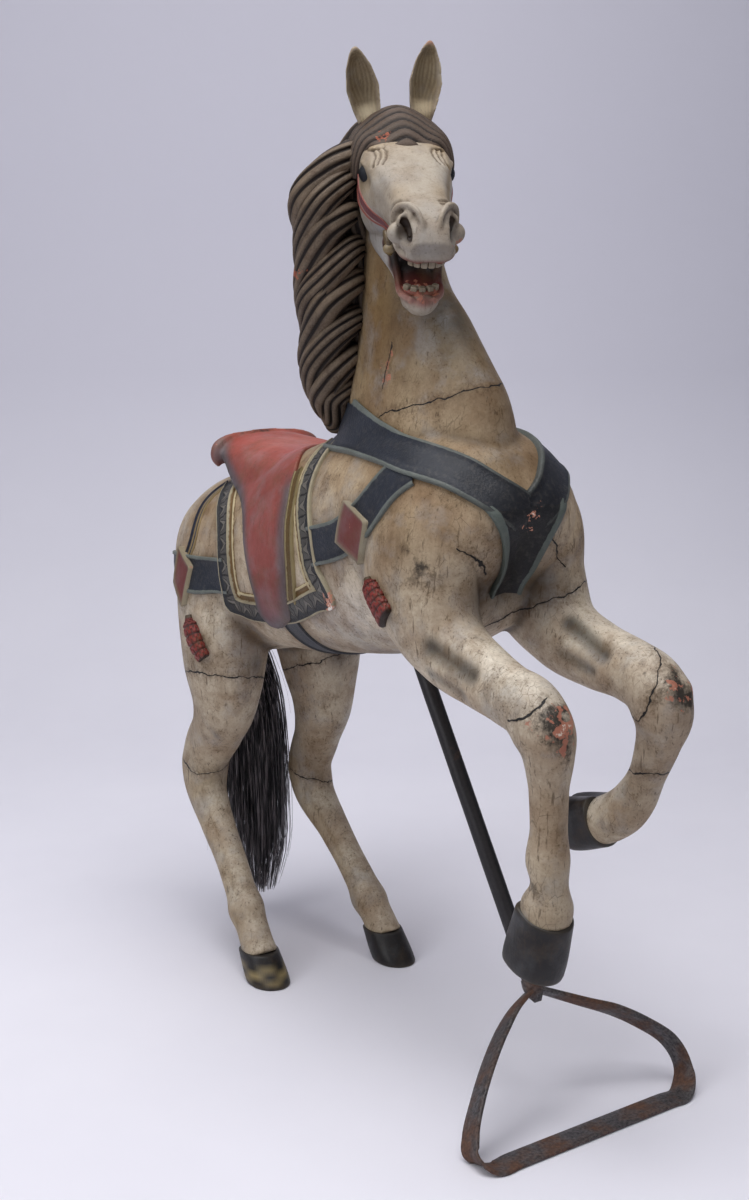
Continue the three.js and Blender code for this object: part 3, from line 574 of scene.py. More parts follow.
LEGS = {
    "fore_right": [
        [-92, 345, 915, 50, 90, 95], [-103, 300, 850, 66, 118, 112], [-107, 258, 770, 63, 88, 100],
        [-108, 200, 716, 54, 56, 66], [-108, 120, 686, 47, 48, 50], [-108, 63, 670, 42, 44, 44],
        [-108, 16, 660, 44, 46, 46], [-108, -12, 630, 44, 44, 46], [-108, -20, 600, 38, 38, 38],
        [-108, -23, 557, 28, 29, 29], [-108, -25, 500, 26, 27, 28], [-108, -26, 455, 31, 30, 36],
        [-108, -29, 420, 27, 27, 27], [-108, -25, 386, 37, 39, 39], [-108, -22, 364, 36, 38, 38],
    ],
    "fore_left": [
        [92, 345, 915, 50, 90, 95], [103, 300, 850, 66, 118, 112], [107, 258, 770, 63, 88, 100],
        [108, 200, 714, 56, 58, 66], [108, 120, 690, 50, 52, 54], [108, 46, 680, 45, 47, 48],
        [108, -2, 664, 46, 48, 48], [108, -21, 628, 44, 46, 46], [108, -14, 585, 34, 35, 35],
        [108, 6, 530, 28, 28, 28], [108, 28, 488, 31, 32, 34], [108, 52, 462, 33, 36, 36],
        [108, 90, 438, 36, 38, 36], [108, 112, 428, 35, 37, 35],
    ],
    "hind_right": [
        [-80, 880, 760, 76, 130, 150], [-92, 880, 660, 76, 104, 130], [-100, 874, 566, 70, 84, 100],
        [-103, 872, 485, 58, 66, 72], [-105, 898, 425, 46, 50, 60], [-106, 937, 368, 40, 44, 61],
        [-108, 946, 315, 37, 42, 55], [-110, 907, 250, 31, 36, 37], [-112, 854, 192, 28, 31, 32],
        [-115, 812, 140, 28, 30, 31], [-117, 790, 112, 33, 34, 37], [-118, 770, 86, 29, 31, 31],
        [-120, 752, 64, 29, 32, 31], [-120, 738, 40, 32, 38, 33],
    ],
    "hind_left": [
        [80, 880, 760, 76, 130, 150], [92, 880, 640, 76, 104, 130], [100, 872, 535, 70, 84, 94],
        [103, 868, 452, 56, 62, 64], [105, 890, 380, 42, 46, 50], [106, 917, 318, 38, 44, 50],
        [108, 912, 272, 36, 42, 50], [110, 842, 206, 29, 30, 34], [112, 793, 160, 27, 28, 30],
        [115, 756, 122, 28, 29, 32], [117, 735, 96, 33, 34, 37], [119, 716, 74, 29, 31, 31],
        [120, 704, 60, 29, 32, 31], [121, 691, 38, 32, 38, 33],
    ],
}
# Long hollows over the forearms: [line, width, depth].
FOREARM_HOLLOWS = [
    ([(-160, 184, 722), (-158, 150, 712), (-150, 103, 698)], 17, 9),
    ([(-148, 190, 684), (-142, 120, 668)], 11, 6),
    ([(76, 146, 735), (72, 110, 724), (66, 66, 706)], 16, 9),
    ([(66, 150, 694), (62, 85, 676)], 11, 6),
    ([(160, 150, 735), (156, 60, 706)], 12, 6),
    ([(-60, 190, 722), (-64, 95, 698)], 12, 6),
]
TENDONS = [
    [(-137, 10, 560), (-134, 6, 500), (-134, 8, 455)],
    [(-80, 10, 560), (-82, 6, 500), (-82, 8, 455)],
    [(-138, 920, 300), (-140, 850, 215), (-143, 800, 150)],
    [(-78, 915, 300), (-82, 850, 215), (-84, 800, 150)],
    [(80, 900, 262), (83, 850, 225), (84, 790, 168)],
    [(80, 30, 560), (78, 25, 510), (80, 45, 470)],
]
THIGH_LINE = [(-163, 925, 625), (-160, 911, 559), (-150, 868, 468), (-130, 843, 405)]
CREAM, TAN, SHADE_BROWN, SHADE_BLUE_GREY, SOOT = "cbbea8", "ad9470", "6f5538", "6a6f77", "2c2622"


def make_body():
    shells = [skin(loft(TRUNK, 90, 72, square=2.2)), skin(loft(NECK, 60, 56))]
    shells += [skin(loft(stations, 110, 40)) for stations in LEGS.values()]
    wood = Carving(shells, 5.2, 7)
    # Muscles stand out and the hollows between them are cut back.
    for centre, radii, height in both([
        [(115, 240, 870), (55, 60, 80), 10], [(70, 195, 850), (42, 40, 60), 10],
        [(0, 180, 850), (16, 60, 90), -6], [(135, 330, 700), (50, 60, 40), -5],
        [(110, 215, 770), (70, 50, 40), 5], [(140, 840, 640), (60, 70, 70), 8],
        [(120, 765, 640), (70, 28, 60), -7], [(150, 900, 540), (40, 40, 70), 4],
        [(100, 830, 480), (60, 30, 40), -4], [(108, 70, 700), (30, 60, 20), 3],
        [(100, 330, 1010), (50, 60, 50), 5],
    ]):
        wood.swell([centre], radii, height)
    for hollow, width, depth in FOREARM_HOLLOWS:
        wood.groove(hollow, width, depth)
    # Square caps on the knees, a dip between them, and flat sides below.
    wood.swell([(-128, -52, 668), (-90, -52, 668), (128, -52, 672), (90, -52, 672), (-108, -62, 640),
                (108, -62, 640)], (17, 20, 17), 5)
    wood.swell([(-108, -60, 655), (108, -60, 656)], (7, 20, 30), -3)
    wood.swell([(-138, -10, 600), (-78, -10, 600), (138, -10, 590), (78, -10, 590)], (12, 26, 20), -4)
    for tendon in TENDONS:
        wood.groove(tendon, 7, 3.5)
    # The points and the sides of the hocks.
    wood.swell([(-106, 990, 345), (108, 962, 300)], (24, 30, 26), 8)
    wood.swell([(-135, 940, 330), (-77, 940, 330), (137, 905, 290), (79, 905, 290)], (14, 22, 20), 3)
    wood.soften(1)
    paint_body(wood)
    return wood


def paint_body(wood):
    wood.ground(CREAM)
    z = wood.co[:, 2]
    # Cream on the belly and legs, brown with handling above.
    wood.brush(0.75 * np.clip((z - 740) / 220, 0, 1), TAN)
    wood.brush(0.55 * np.clip((z - 980) / 120, 0, 1), "75664e")
    # Patches of tone and dirt; the blue-grey ones, in the folds, on the hind legs and under the belly and
    # chest, and the brown one at the elbow are painted shade.
    for dab in both([
        [(150, 250, 870), (60, 70, 60), 0.6, "745a34"], [(140, 300, 800), (60, 60, 50), 0.45, "8f7650"],
        [(90, 215, 780), (60, 40, 40), 0.6, SHADE_BROWN], [(150, 820, 860), (50, 60, 50), 0.5, "8f7650"],
        [(110, 900, 840), (90, 80, 60), 0.5, "8f7650"], [(125, 770, 610), (50, 26, 60), 0.75, SHADE_BLUE_GREY],
        [(100, 400, 640), (80, 120, 24), 0.45, SHADE_BLUE_GREY], [(60, 180, 770), (60, 60, 40), 0.45, SHADE_BLUE_GREY],
        [(130, 460, 690), (40, 40, 50), 0.4, SHADE_BLUE_GREY],
        [(108, 90, 745), (50, 60, 24), 0.4, "d4cdbf"], [(108, -45, 655), (52, 40, 40), 0.55, "77604a"],
        [(108, -30, 500), (40, 40, 90), 0.4, "8a6f4c"], [(108, -22, 400), (46, 46, 34), 0.5, "6b533c"],
        [(108, 930, 330), (50, 50, 50), 0.5, "74634a"], [(115, 770, 100), (50, 50, 40), 0.55, "7a6142"],
        [(108, 900, 470), (60, 50, 60), 0.4, SHADE_BLUE_GREY], [(108, 850, 560), (60, 60, 40), 0.35, "6f6a5e"],
        [(100, 800, 180), (60, 60, 60), 0.4, "937a55"], [(80, 500, 640), (90, 160, 30), 0.3, "8a8073"],
        [(142, 600, 770), (40, 60, 60), 0.35, "6b5430"], [(108, 850, 225), (30, 40, 60), 0.45, "7d5f30"],
        [(84, 782, 560), (22, 26, 32), 0.8, "3b3f48"], [(90, 888, 340), (24, 26, 22), 0.6, "5d6672"],
        [(86, 868, 298), (22, 26, 20), 0.5, "5d6672"], [(60, 200, 790), (40, 40, 30), 0.5, "5a4a35"],
    ]):
        wood.dab(*dab)
    # Painted highlight on the faces that look up, low on the body and legs.
    upward = np.clip(wood.normals()[:, 2], 0, 1)
    wood.brush(0.85 * upward * np.clip((750 - z) / 40, 0, 1), "ded6c7")
    for sign in (-1, 1):
        wood.dab((sign * 140, 460, 730), (50, 130, 50), 0.65, "dad2c5")
        wood.dab((sign * 105, -20, 600), (50, 60, 90), 0.45, "94806a")
    # Painted shade on the lower faces that turn away from the light.
    wood.brush(0.45 * np.clip((640 - z) / 300, 0, 1) * (1 - upward), "97835f")
    # Painted shade, with some grime, in the hollows between the carved forms.
    wood.brush(0.8 * wood.hollows(40, 4.0), "46361f")
    # Dirt where a cloth could not reach, along the straps and the saddle cloth.
    for line, reach in ((BREAST, 40), (FRONT_SIDE, 42), (REAR_SIDE, 42), (CLOTH_EDGE, 32), (GIRTH_LINE, 36)):
        for side in (list, mirrored):
            wood.brush(0.55 * wood.along(even(side(line), 40), reach, 4), "5d4526")
    # Painted shade in the long hollows over the forearms.
    for hollow, width, depth in FOREARM_HOLLOWS:
        wood.brush(0.088 * depth * wood.along(hollow, width, 4), "3a3934")
    for side in (list, mirrored):
        wood.brush(0.55 * wood.along(even(side(THIGH_LINE), 20), 6), "6a7078")
    # The left hind leg's own dirt, grey scrub and painted shade under the jaw, and yellowed varnish down the
    # neck.
    wood.dab((95, 830, 620), (60, 60, 90), 0.5, "6d5f4b")
    wood.dab((-14, 330, 1185), (40, 70, 90), 0.85, "33322f")
    wood.dab((-60, 400, 1215), (26, 32, 74), 0.85, "282724")
    wood.dab((20, 240, 1040), (50, 60, 60), 0.5, "857a6a")
    wood.brush(0.6 * np.clip((z - 1240) / 80, 0, 1), "4c463d")
    wood.dab((-80, 430, 1190), (50, 60, 150), 0.7, "7d6238")
    wood.dab((40, 300, 1090), (60, 60, 50), 0.5, "6b5a42")
    wood.dab((0, 215, 975), (60, 60, 26), 0.7, "5b452b")
    wood.dab((0, 180, 800), (60, 50, 50), 0.5, SOOT)
    for centre, radii, amount in (((-108, -50, 655), (44, 36, 44), 0.9), ((108, -50, 665), (44, 36, 44), 0.8),
                                  ((-100, 350, 1010), (60, 60, 30), 0.3),
                                  ((-108, -25, 385), (40, 40, 26), 0.6),
                                  ((-118, 760, 90), (40, 40, 34), 0.4),
                                  ((-85, 400, 1110), (16, 20, 30), 0.9)):
        wood.wear = np.maximum(wood.wear, amount * wood.cloud(centre, radii))
    for centre, radii, amount in (((-116, -50, 648), (30, 34, 44), 1.1), ((104, -54, 664), (26, 36, 36), 1.1),
                                  ((60, -20, 690), (30, 26, 14), 0.7), ((-150, 215, 840), (40, 40, 34), 0.45),
                                  ((0, 330, 1030), (60, 60, 22), 0.5), ((-128, -10, 430), (20, 30, 60), 0.5),
                                  ((-135, 860, 500), (20, 30, 50), 0.4), ((108, 800, 560), (50, 40, 26), 0.5),
                                  ((0, 290, 760), (70, 50, 30), 0.6), ((0, 800, 600), (60, 60, 40), 0.7)):
        wood.soot = np.maximum(wood.soot, amount * wood.cloud(centre, radii))


# ---------------------------------------------------------------- head

YAW, PITCH = math.radians(26), math.radians(22)
POLL = np.array([14.0, 518.0, 1432.0])
HEAD_SIDE = np.array([math.cos(YAW), -math.sin(YAW), 0])
HEAD_AXIS = np.array([-math.sin(YAW) * math.cos(PITCH), -math.cos(YAW) * math.cos(PITCH), -math.sin(PITCH)])
HEAD_TOP = np.cross(HEAD_AXIS, HEAD_SIDE)
HEAD_FRAME = np.stack([HEAD_AXIS, HEAD_SIDE, HEAD_TOP])


def in_head(along, left, up):
    """A point in the head: along from the poll to the nose, to the horse's left, and up from the axis."""
    return POLL + along * HEAD_AXIS + left * HEAD_SIDE + up * HEAD_TOP


def head_line(sign, *points):
    """Points in the head, on the horse's left, or on its right where the sign is -1."""
    return [in_head(along, sign * left, up) for along, left, up in points]


def head_loft(stations, rings, sides):
    """A loft along the head from rows of [along, up, half width, reach a, reach b]."""
    rows = [[*in_head(along, 0, up), *size] for along, up, *size in stations]
    return loft(rows, rings, sides, side=HEAD_SIDE, square=2.9)


SKULL = [
    [-40, -8, 30, 30, 40], [-15, 0, 46, 46, 60], [30, 2, 56, 54, 84], [75, 4, 66, 54, 104],
    [118, 6, 71, 48, 104], [160, 4, 64, 42, 86], [210, 0, 53, 36, 52], [260, -4, 44, 32, 34],
    [300, -6, 45, 32, 30], [330, -10, 41, 24, 26], [352, -18, 30, 12, 16],
]
JAW = [
    [60, -60, 40, 30, 40], [110, -76, 50, 36, 46], [160, -84, 44, 32, 34], [215, -92, 34, 22, 26],
    [265, -104, 28, 16, 22], [300, -112, 28, 14, 20], [322, -114, 18, 8, 12],
]
EARS = [((-34, 512, 1470), (-73, 500, 1587)), ((42, 484, 1478), (49, 470, 1601))]
EAR_RISE, EAR_HALF = [0, 0.25, 0.5, 0.75, 0.93, 1], [15, 22, 26, 20, 10, 3]


def ear_shell(root, tip):
    """A cupped leaf: rounded behind, hollow in front inside a rolled rim."""
    root, tip = np.array(root, float), np.array(tip, float)
    t = np.linspace(0, 1, 40)
    half = np.interp(t, EAR_RISE, EAR_HALF)
    depth = np.interp(t, EAR_RISE, [13, 17, 17, 13, 8, 3])
    cup = np.interp(t, [0, 0.12, 0.3, 0.85, 1], [0.0, 0.25, 1.0, 0.9, 0.0])[:, None]
    angle = np.linspace(0, 2 * math.pi, 36, endpoint=False)
    front = np.sin(angle)
    dish = front * (1 - cup * 1.8 * np.abs(front) ** 0.6) + 0.45 * cup * np.exp(-((front - 0.2) / 0.2) ** 2)
    flat = np.where(front > 0, dish, front)
    up = unit(tip - root)
    ahead = unit(HEAD_AXIS - (HEAD_AXIS @ up) * up)
    side = np.cross(up, ahead)
    middle = root + t[:, None] * (tip - root)
    return skin(middle[:, None] + (half[:, None] * np.cos(angle))[:, :, None] * side
                + (depth[:, None] * flat)[:, :, None] * ahead)


def tube(points, radii, sides=14):
    rows = [[*p, r, r, r] for p, r in zip(points, radii)]
    way = unit(points[-1] - points[0])
    side = unit(np.cross(way, HEAD_TOP if abs(way @ HEAD_TOP) < 0.8 else HEAD_SIDE))
    return skin(loft(rows, 4 * len(rows), sides, side=side))


def head_clouds(wood):
    """Clouds given in the head's own directions, over the wood as it is now."""
    local = (wood.co - POLL) @ HEAD_FRAME.T
    return local, lambda centre, radii: np.exp(-(((local - centre) / radii) ** 2).sum(1))


def make_head():
    shells = [skin(head_loft(SKULL, 80, 60)), skin(head_loft(JAW, 60, 44))]
    shells += [ear_shell(root, tip) for root, tip in EARS]
    shells.append(ball(in_head(205, 0, -62), (50, 36, 36)))
    for sign in (-1, 1):
        shells.append(ball(in_head(114, sign * 43, 28), (26, 22, 13)))
        # The lids, the cheek bone, the rolled rim of the nostril, and the upper and the lower lip.
        for line, radii in (
            ([(102, 62, 14), (112, 67, 25), (126, 67, 28), (144, 61, 19)], [3, 4, 4, 3]),
            ([(104, 63, 6), (114, 68, -1), (130, 66, 0), (144, 61, 8)], [3, 3, 3, 3]),
            ([(146, 58, 2), (180, 52, -4), (220, 43, -12), (250, 36, -18)], [5, 7, 7, 5]),
            ([(290, 44, -16), (286, 46, 4), (292, 42, 22), (308, 29, 32), (326, 17, 27), (338, 12, 10),
              (342, 16, -8)], [5, 5, 5, 5, 4, 4, 4]),
            ([(262, 36, -34), (296, 38, -32), (328, 32, -34), (346, 14, -36)], [7, 7, 7, 6]),
            ([(240, 34, -66), (270, 30, -92), (300, 29, -104), (324, 16, -106)], [7, 6, 6, 5]),
        ):
            shells.append(tube(head_line(sign, *line), radii))
        shells.append(ball(in_head(306, sign * 34, -10), (26, 16, 18)))
        shells.append(ball(in_head(312, sign * 26, 10), (22, 13, 17)))
    shells.append(ball(in_head(334, 0, -25), (17, 34, 15), HEAD_FRAME, corner=0.6, count=14))
    shells.append(ball(in_head(306, 0, -118), (22, 24, 18)))
    wood = Carving(shells, 2.3, 4)
    _, cloud = head_clouds(wood)
    nostril = lambda sign: (1.1 * cloud((328, sign * 36, -2), (20, 7, 11))
                            + 0.7 * cloud((322, sign * 37, 12), (16, 5, 11)))
    pits = np.clip(nostril(-1) + nostril(1), 0, 1)
    for _ in range(3):
        wood.push(pits, -6)
    for sign in (-1, 1):
        # The eye socket, the hollow before the eye, and the hollow of the cheek.
        wood.push(cloud((126, sign * 70, 13), (16, 10, 11)), -5)
        wood.push(cloud((150, sign * 64, 8), (14, 12, 13)), -7)
        wood.push(cloud((200, sign * 50, -38), (36, 20, 14)), -6)
        for crease in creases(sign):
            wood.groove(wood.laid(crease), 2.4, 3)
        wood.groove(head_line(sign, (150, 54, 26), (190, 46, 22), (240, 37, 14)), 6, 6)
    wood.soften(1)
    paint_head(wood, pits)
    return wood


def creases(sign):
    """Three wrinkles over the eye and two behind the nostril."""
    brow = [[(102 + 3 * n, 60 - 9 * n, 42), (116 + 4 * n, 52 - 9 * n, 44), (138 + 4 * n, 52 - 8 * n, 40),
             (150 + 4 * n, 57 - 8 * n, 32)] for n in (0, 1, 2)]
    nose = [[(266 - 11 * n, 44, 0), (270 - 11 * n, 40, 20), (284 - 11 * n, 24, 31)] for n in (0, 1)]
    return [head_line(sign, *line) for line in brow + nose]


def paint_head(wood, pits):
    wood.ground("a59c8e")
    local, cloud = head_clouds(wood)
    along, _, up = local.T
    wood.brush(0.5 * np.clip((60 - along) / 60, 0, 1), TAN)
    wood.brush(0.75 * np.clip((wood.co[:, 2] - 1462) / 30, 0, 1), "85796a")
    for sign in (-1, 1):
        dab = lambda along, left, up, radii, strength, colour: wood.brush(
            strength * cloud((along, sign * left, up), radii), colour)
        # Round the eye, up the brow, and down the side of the nose, where the blue-grey is painted shade.
        dab(130, 70, 0, (40, 20, 24), 0.55, "8a775c")
        dab(128, 64, 14, (34, 14, 30), 0.5, "7f6a47")
        dab(124, 72, 12, (17, 12, 13), 0.85, SOOT)
        dab(98, 50, 42, (30, 22, 16), 0.5, "8f7548")
        dab(195, 44, 16, (40, 14, 20), 0.5, SHADE_BLUE_GREY)
        dab(240, 30, 24, (30, 16, 14), 0.45, "8a7350")
        for crease in creases(sign):
            wood.brush(0.45 * wood.along(wood.laid(crease), 2.1), "5c4729")
        # Painted shade along the ridge down the side of the nose, darker on the left. The lips are red.
        ridge = wood.laid(head_line(sign, (146, 56, 26), (190, 47, 21), (246, 37, 12)))
        wood.brush((0.45 + 0.3 * sign) * wood.along(ridge, 6), "6b5836")
        dab(200, 48, -50, (60, 30, 26), 0.6, "8b8f98")
        lip = head_line(sign, (236, 36, -60), (270, 31, -90), (300, 30, -102), (326, 16, -104),
                        (330, 0, -104))
        wood.brush(0.85 * wood.along(lip, 9), "8c4a42")
        dab(276, 42, 12, (20, 12, 22), 0.5, "7f7a70")
        dab(160, 40, -100, (70, 30, 26), 0.5, "a3a9b3")
    wood.brush(0.45 * cloud((338, 0, -14), (40, 40, 20)), "8f9092")
    wood.brush(0.3 * cloud((80, 0, 50), (50, 60, 20)), "a08352")
    # Painted shade, with some grime, in the hollows of the face.
    wood.brush(0.55 * wood.hollows(14, 1.6), "574630")
    wood.brush(np.clip(pits * 1.4, 0, 0.97), "1d0f0c")
    # The inside of the mouth, red, with painted shade darkening it towards the throat.
    inner = np.clip((along - 205) / 18, 0, 1) * np.clip((-up - 32) / 8, 0, 1) * np.clip((104 + up) / 8, 0, 1)
    wood.brush(inner, "6d2a24")
    wood.brush(inner * np.clip((296 - along) / 40, 0, 1), "1a0a08")
    wood.wear = 0.9 * np.clip(cloud((300, 0, -100), (60, 40, 14)) + cloud((322, 30, -20), (26, 30, 14)), 0, 1)
    # The ears are streaked in the hollow, with a pale place low in it, and their tips are chipped.
    facing = wood.normals() @ HEAD_AXIS
    for root, tip in EARS:
        root, tip = np.array(root, float), np.array(tip, float)
        upright, length = unit(tip - root), np.linalg.norm(tip - root)
        share = (wood.co - root) @ upright / length
        half = np.interp(share, EAR_RISE, EAR_HALF)
        lateral = np.abs((wood.co - root) @ unit(np.cross(upright, HEAD_AXIS))) / half
        hollow = np.clip((0.8 - lateral) / 0.12, 0, 1) * np.clip(facing * 5, 0, 1)
        hollow = hollow * (share > 0.08) * (share < 0.95)
        rim = np.exp(-((lateral - 0.9) / 0.08) ** 2) * np.clip(facing * 4, 0, 1) * (share > 0.1)
        streaks = 0.5 + 0.5 * np.sin(lateral * 26 + 3 * np.sin(share * 7))
        wood.brush(0.8 * hollow, "8c7c5e")
        wood.brush(0.5 * hollow * streaks, "33260f")
        wood.brush(0.6 * rim, "aa9e86")
        wood.dab(root + 0.27 * (tip - root) + 2 * HEAD_AXIS, 16, 0.9 * hollow, "bcb094")
    wood.brush(np.clip((wood.co[:, 2] - 1592) / 8, 0, 1) * 0.7, "9a5842")


# ---------------------------------------------------------------- on the skin

FAR = 60


class Skin:
    """Finds points on the carved body from guides near it. All in mm."""

    def __init__(self, *carvings):
        verts, faces = together([(c.co, c.faces) for c in carvings])
        self.tree = BVHTree.FromPolygons(verts.tolist(), faces)

    def meet(self, guides, cores):
        """Where the way from outside each guide to its core meets the skin, and that way."""
        inward = unit(cores - guides)
        met = np.array(guides, float)
        for n, (guide, way) in enumerate(zip(guides, inward)):
            hit = self.tree.ray_cast(Vector(guide - way * FAR), Vector(way), 400)[0]
            if hit is not None:
                met[n] = hit
        return met, inward


def trunk_core(points):
    """The point inside the trunk that a strap presses towards."""
    rows = np.array(TRUNK, float)
    y = np.clip(points[..., 1], 300, 960)
    return np.stack([0 * y, y, np.interp(y, rows[:, 1], rows[:, 2])], -1)


def ribbon(under, guides, profile, step=5.0, core=trunk_core, flare=0.0, tuck=0.0, bend=None):
    """A band on the skin, its profile given as [place across, height] in mm. Its start is wider by the share
    flare and sinks by tuck mm, and bend may move its guide points. Returns the shape and its (run, across) in
    metres."""
    length = np.linalg.norm(np.diff(even(guides, 200), axis=0), axis=1).sum()
    count = int(length / step) + 2
    line = even(guides, count)
    inward = unit(core(line) - line)
    side = unit(np.cross(unit(np.gradient(line, axis=0)), inward))
    lanes = np.array([p[0] for p in profile], float)
    proud = np.array([p[1] for p in profile], float)
    wider = 1 + flare * (1 - np.linspace(0, 1, count)) ** 3
    points = line[:, None] + (wider[:, None] * lanes)[:, :, None] * side[:, None]
    flat = points.reshape(-1, 3)
    if bend:
        flat = bend(flat)
    met, way = under.meet(flat, core(flat))
    met = met.reshape(points.shape)
    for _ in range(3):
        met[1:-1] = (met[:-2] + 2 * met[1:-1] + met[2:]) / 4
    height = proud[None] - tuck * np.clip(1 - np.linspace(0, 1, count)[:, None] / 0.12, 0, 1)
    grid = met - way.reshape(points.shape) * height[:, :, None]
    run = np.linspace(0, length, count)[:, None]
    return sheet(grid), np.stack(np.broadcast_arrays(run, lanes[None]), -1).reshape(-1, 2) * MM


def joined(made):
    """Several shapes with their UVs as one."""
    return together([shape for shape, _ in made]), np.vstack([uv for _, uv in made])


mirrored = lambda guides: [(-x, y, z) for x, y, z in guides]

BREAST = [(-60, 560, 972), (-96, 450, 990), (-112, 362, 990), (-102, 282, 970), (-72, 218, 950),
          (-40, 186, 925), (-6, 178, 900), (18, 176, 883)]
BREAST_DROP = [(0, 180, 921), (0, 176, 872), (0, 188, 822), (0, 212, 782)]
FRONT_SIDE = [(-155, 500, 826), (-157, 420, 850), (-154, 360, 888), (-128, 304, 942), (-114, 280, 962)]
REAR_SIDE = [(-153, 775, 735), (-157, 860, 726), (-146, 950, 718), (-80, 1040, 700), (0, 1064, 690)]
GIRTH_LINE = [(-140, 612, 700), (-90, 606, 660), (0, 602, 644), (90, 606, 660), (140, 612, 700)]
CRUPPER_LINE = [(-90, 882, 888), (-122, 905, 850), (-149, 900, 790), (-152, 908, 750)]
CLOTH_EDGE = [(-60, 570, 1000), (-112, 550, 955), (-138, 535, 905), (-156, 512, 845), (-154, 496, 785),
              (-149, 480, 762), (-147, 482, 748), (-142, 510, 737), (-134, 600, 702), (-133, 690, 688),
              (-138, 752, 686), (-142, 763, 692), (-148, 768, 712), (-148, 786, 808), (-118, 835, 862),
              (-84, 862, 884)]
DIAMONDS = [((-156, 378, 866), (0, 0.46, 0.89), (49, 56)), ((-151, 914, 718), (0, 0.45, 0.89), (46, 56))]
TASSELS = [((-168, 327, 804), (-167, 277, 754)), ((-167, 874, 655), (-160, 835, 586))]


def beaded(width, bead=7.0, proud=6.0):
    """The section of a strap with a raised, rounded edge on each side."""
    half = width / 2
    right = [(half * 0.4, proud - 2), (half - bead, proud - 2.5), (half - bead + 1.5, proud),
             (half - 1.5, proud), (half, proud - 2), (half, -6)]
    return [(-across, height) for across, height in right[::-1]] + [(0, proud - 1.8)] + right


def make_harness(under):
    chest = lambda shape, reach: np.exp(-(((shape[0] - (0, 185, 900)) / reach) ** 2).sum(1))
    made = [ribbon(under, side(line), beaded(width, proud=proud))
            for line, width, proud in ((BREAST, 54, 8.5), (FRONT_SIDE, 62, 6), (REAR_SIDE, 62, 6))
            for side in (list, mirrored)]
    # The two breast straps meet in a mitre on the middle line.
    for n, sign in ((0, -1), (1, 1)):
        (verts, faces), run = made[n]
        verts[:, 0] = sign * np.maximum(sign * verts[:, 0], 0)
        made[n] = ((verts, [f for f in faces if np.abs(verts[f, 0]).max() > 0]), run)
    # Straps of both widths are painted with the bands of the wider one.
    made = [(shape, run * (1, 31 * MM / np.abs(run[:, 1]).max())) for shape, run in made]
    shape, uv = joined(made)
    slate = banded_paint("slate_strap", [(-25, "676d68"), (25, "262b35"), (99, "676d68")])
    piece("straps", shape, slate, uv=uv, wear=1.2 * chest(shape, (50, 60, 26)),
          shade=chest(shape, (110, 120, 120)))
    black = banded_paint("chest_strap", [(-21, "59625d"), (21, "131418"), (99, "59625d")])
    shape, uv = ribbon(under, BREAST_DROP, beaded(56, proud=11), flare=1.7, tuck=6.5)
    piece("breast_drop", shape, black, uv=uv, wear=1.2 * chest(shape, (30, 60, 40)))
    grey = banded_paint("girth_paint", [(-19, "26282c"), (19, "46494f"), (99, "26282c")])
    shape, uv = ribbon(under, GIRTH_LINE, beaded(48, bead=3, proud=4))
    piece("girth", shape, grey, uv=uv)
    stripes = [(-11, "8a7650"), (-3, "171c30"), (3, "8a7650"), (11, "171c30"), (99, "8a7650")]
    section = beaded(28, bead=6, proud=3)
    shape, uv = joined([ribbon(under, side(CRUPPER_LINE), section) for side in (list, mirrored)])
    piece("crupper", shape, banded_paint("crupper_paint", stripes), uv=uv)


def make_cloth_border(under):
    """The saddle cloth's edge: carved points between two pale mouldings, with a cream line inside them."""
    profile = [(-19, -6), (-19, 4), (-17, 6.5), (-14.5, 6.5), (-13, 3.5), (-6, 5), (1, 3.2), (8, 5),
               (14, 3.5), (15.5, 6), (18, 6), (19.5, 1.2), (27, 0.8), (28, 2.6), (31.5, 2.6), (32.5, 0.5),
               (33, -6)]
    bands = [(-14.8, "a1977e"), (14.5, "292a2d"), (19, "a1977c"), (27.5, "6b512c"), (32, "c0b18c"),
             (99, "6b512c")]
    inward = [(-across, height) for across, height in profile][::-1]

    def pointed(points):
        """Draws the two lower corners of the cloth out to points."""
        for corner, pull in (((468, 736), (-15, -5)), ((778, 684), (12, -10))):
            near = np.exp(-((points[:, 1:] - corner) ** 2).sum(1) / 17 ** 2)[:, None]
            points = points + near * (0, *pull)
        return points

    made = [ribbon(under, CLOTH_EDGE, inward, step=4, bend=pointed),
            ribbon(under, mirrored(CLOTH_EDGE), profile, step=4, bend=pointed)]
    made[0] = (made[0][0], made[0][1] * (1, -1))
    shape, uv = joined(made)
    corner = 1.3 * np.exp(-(((np.abs(shape[0]) - (147, 462, 738)) / (30, 24, 30)) ** 2).sum(1))
    piece("cloth_border", shape, banded_paint("cloth_border_paint", bands, zigzag), uv=uv, wear=corner)
    # The padded edge of the panel, just before the flap, with painted shade down its dark olive middle.
    line = [(x, y - 11, z) for x, y, z in (front for _, front in SADDLE[2:7])]
    shape, uv = joined([ribbon(under, side(line), beaded(20, bead=3, proud=7)) for side in (list, mirrored)])
    olive = banded_paint("panel_paint", [(-7, "a2936a"), (7, "5d4820"), (99, "a2936a")])
    piece("panel_edge", shape, olive, uv=uv)


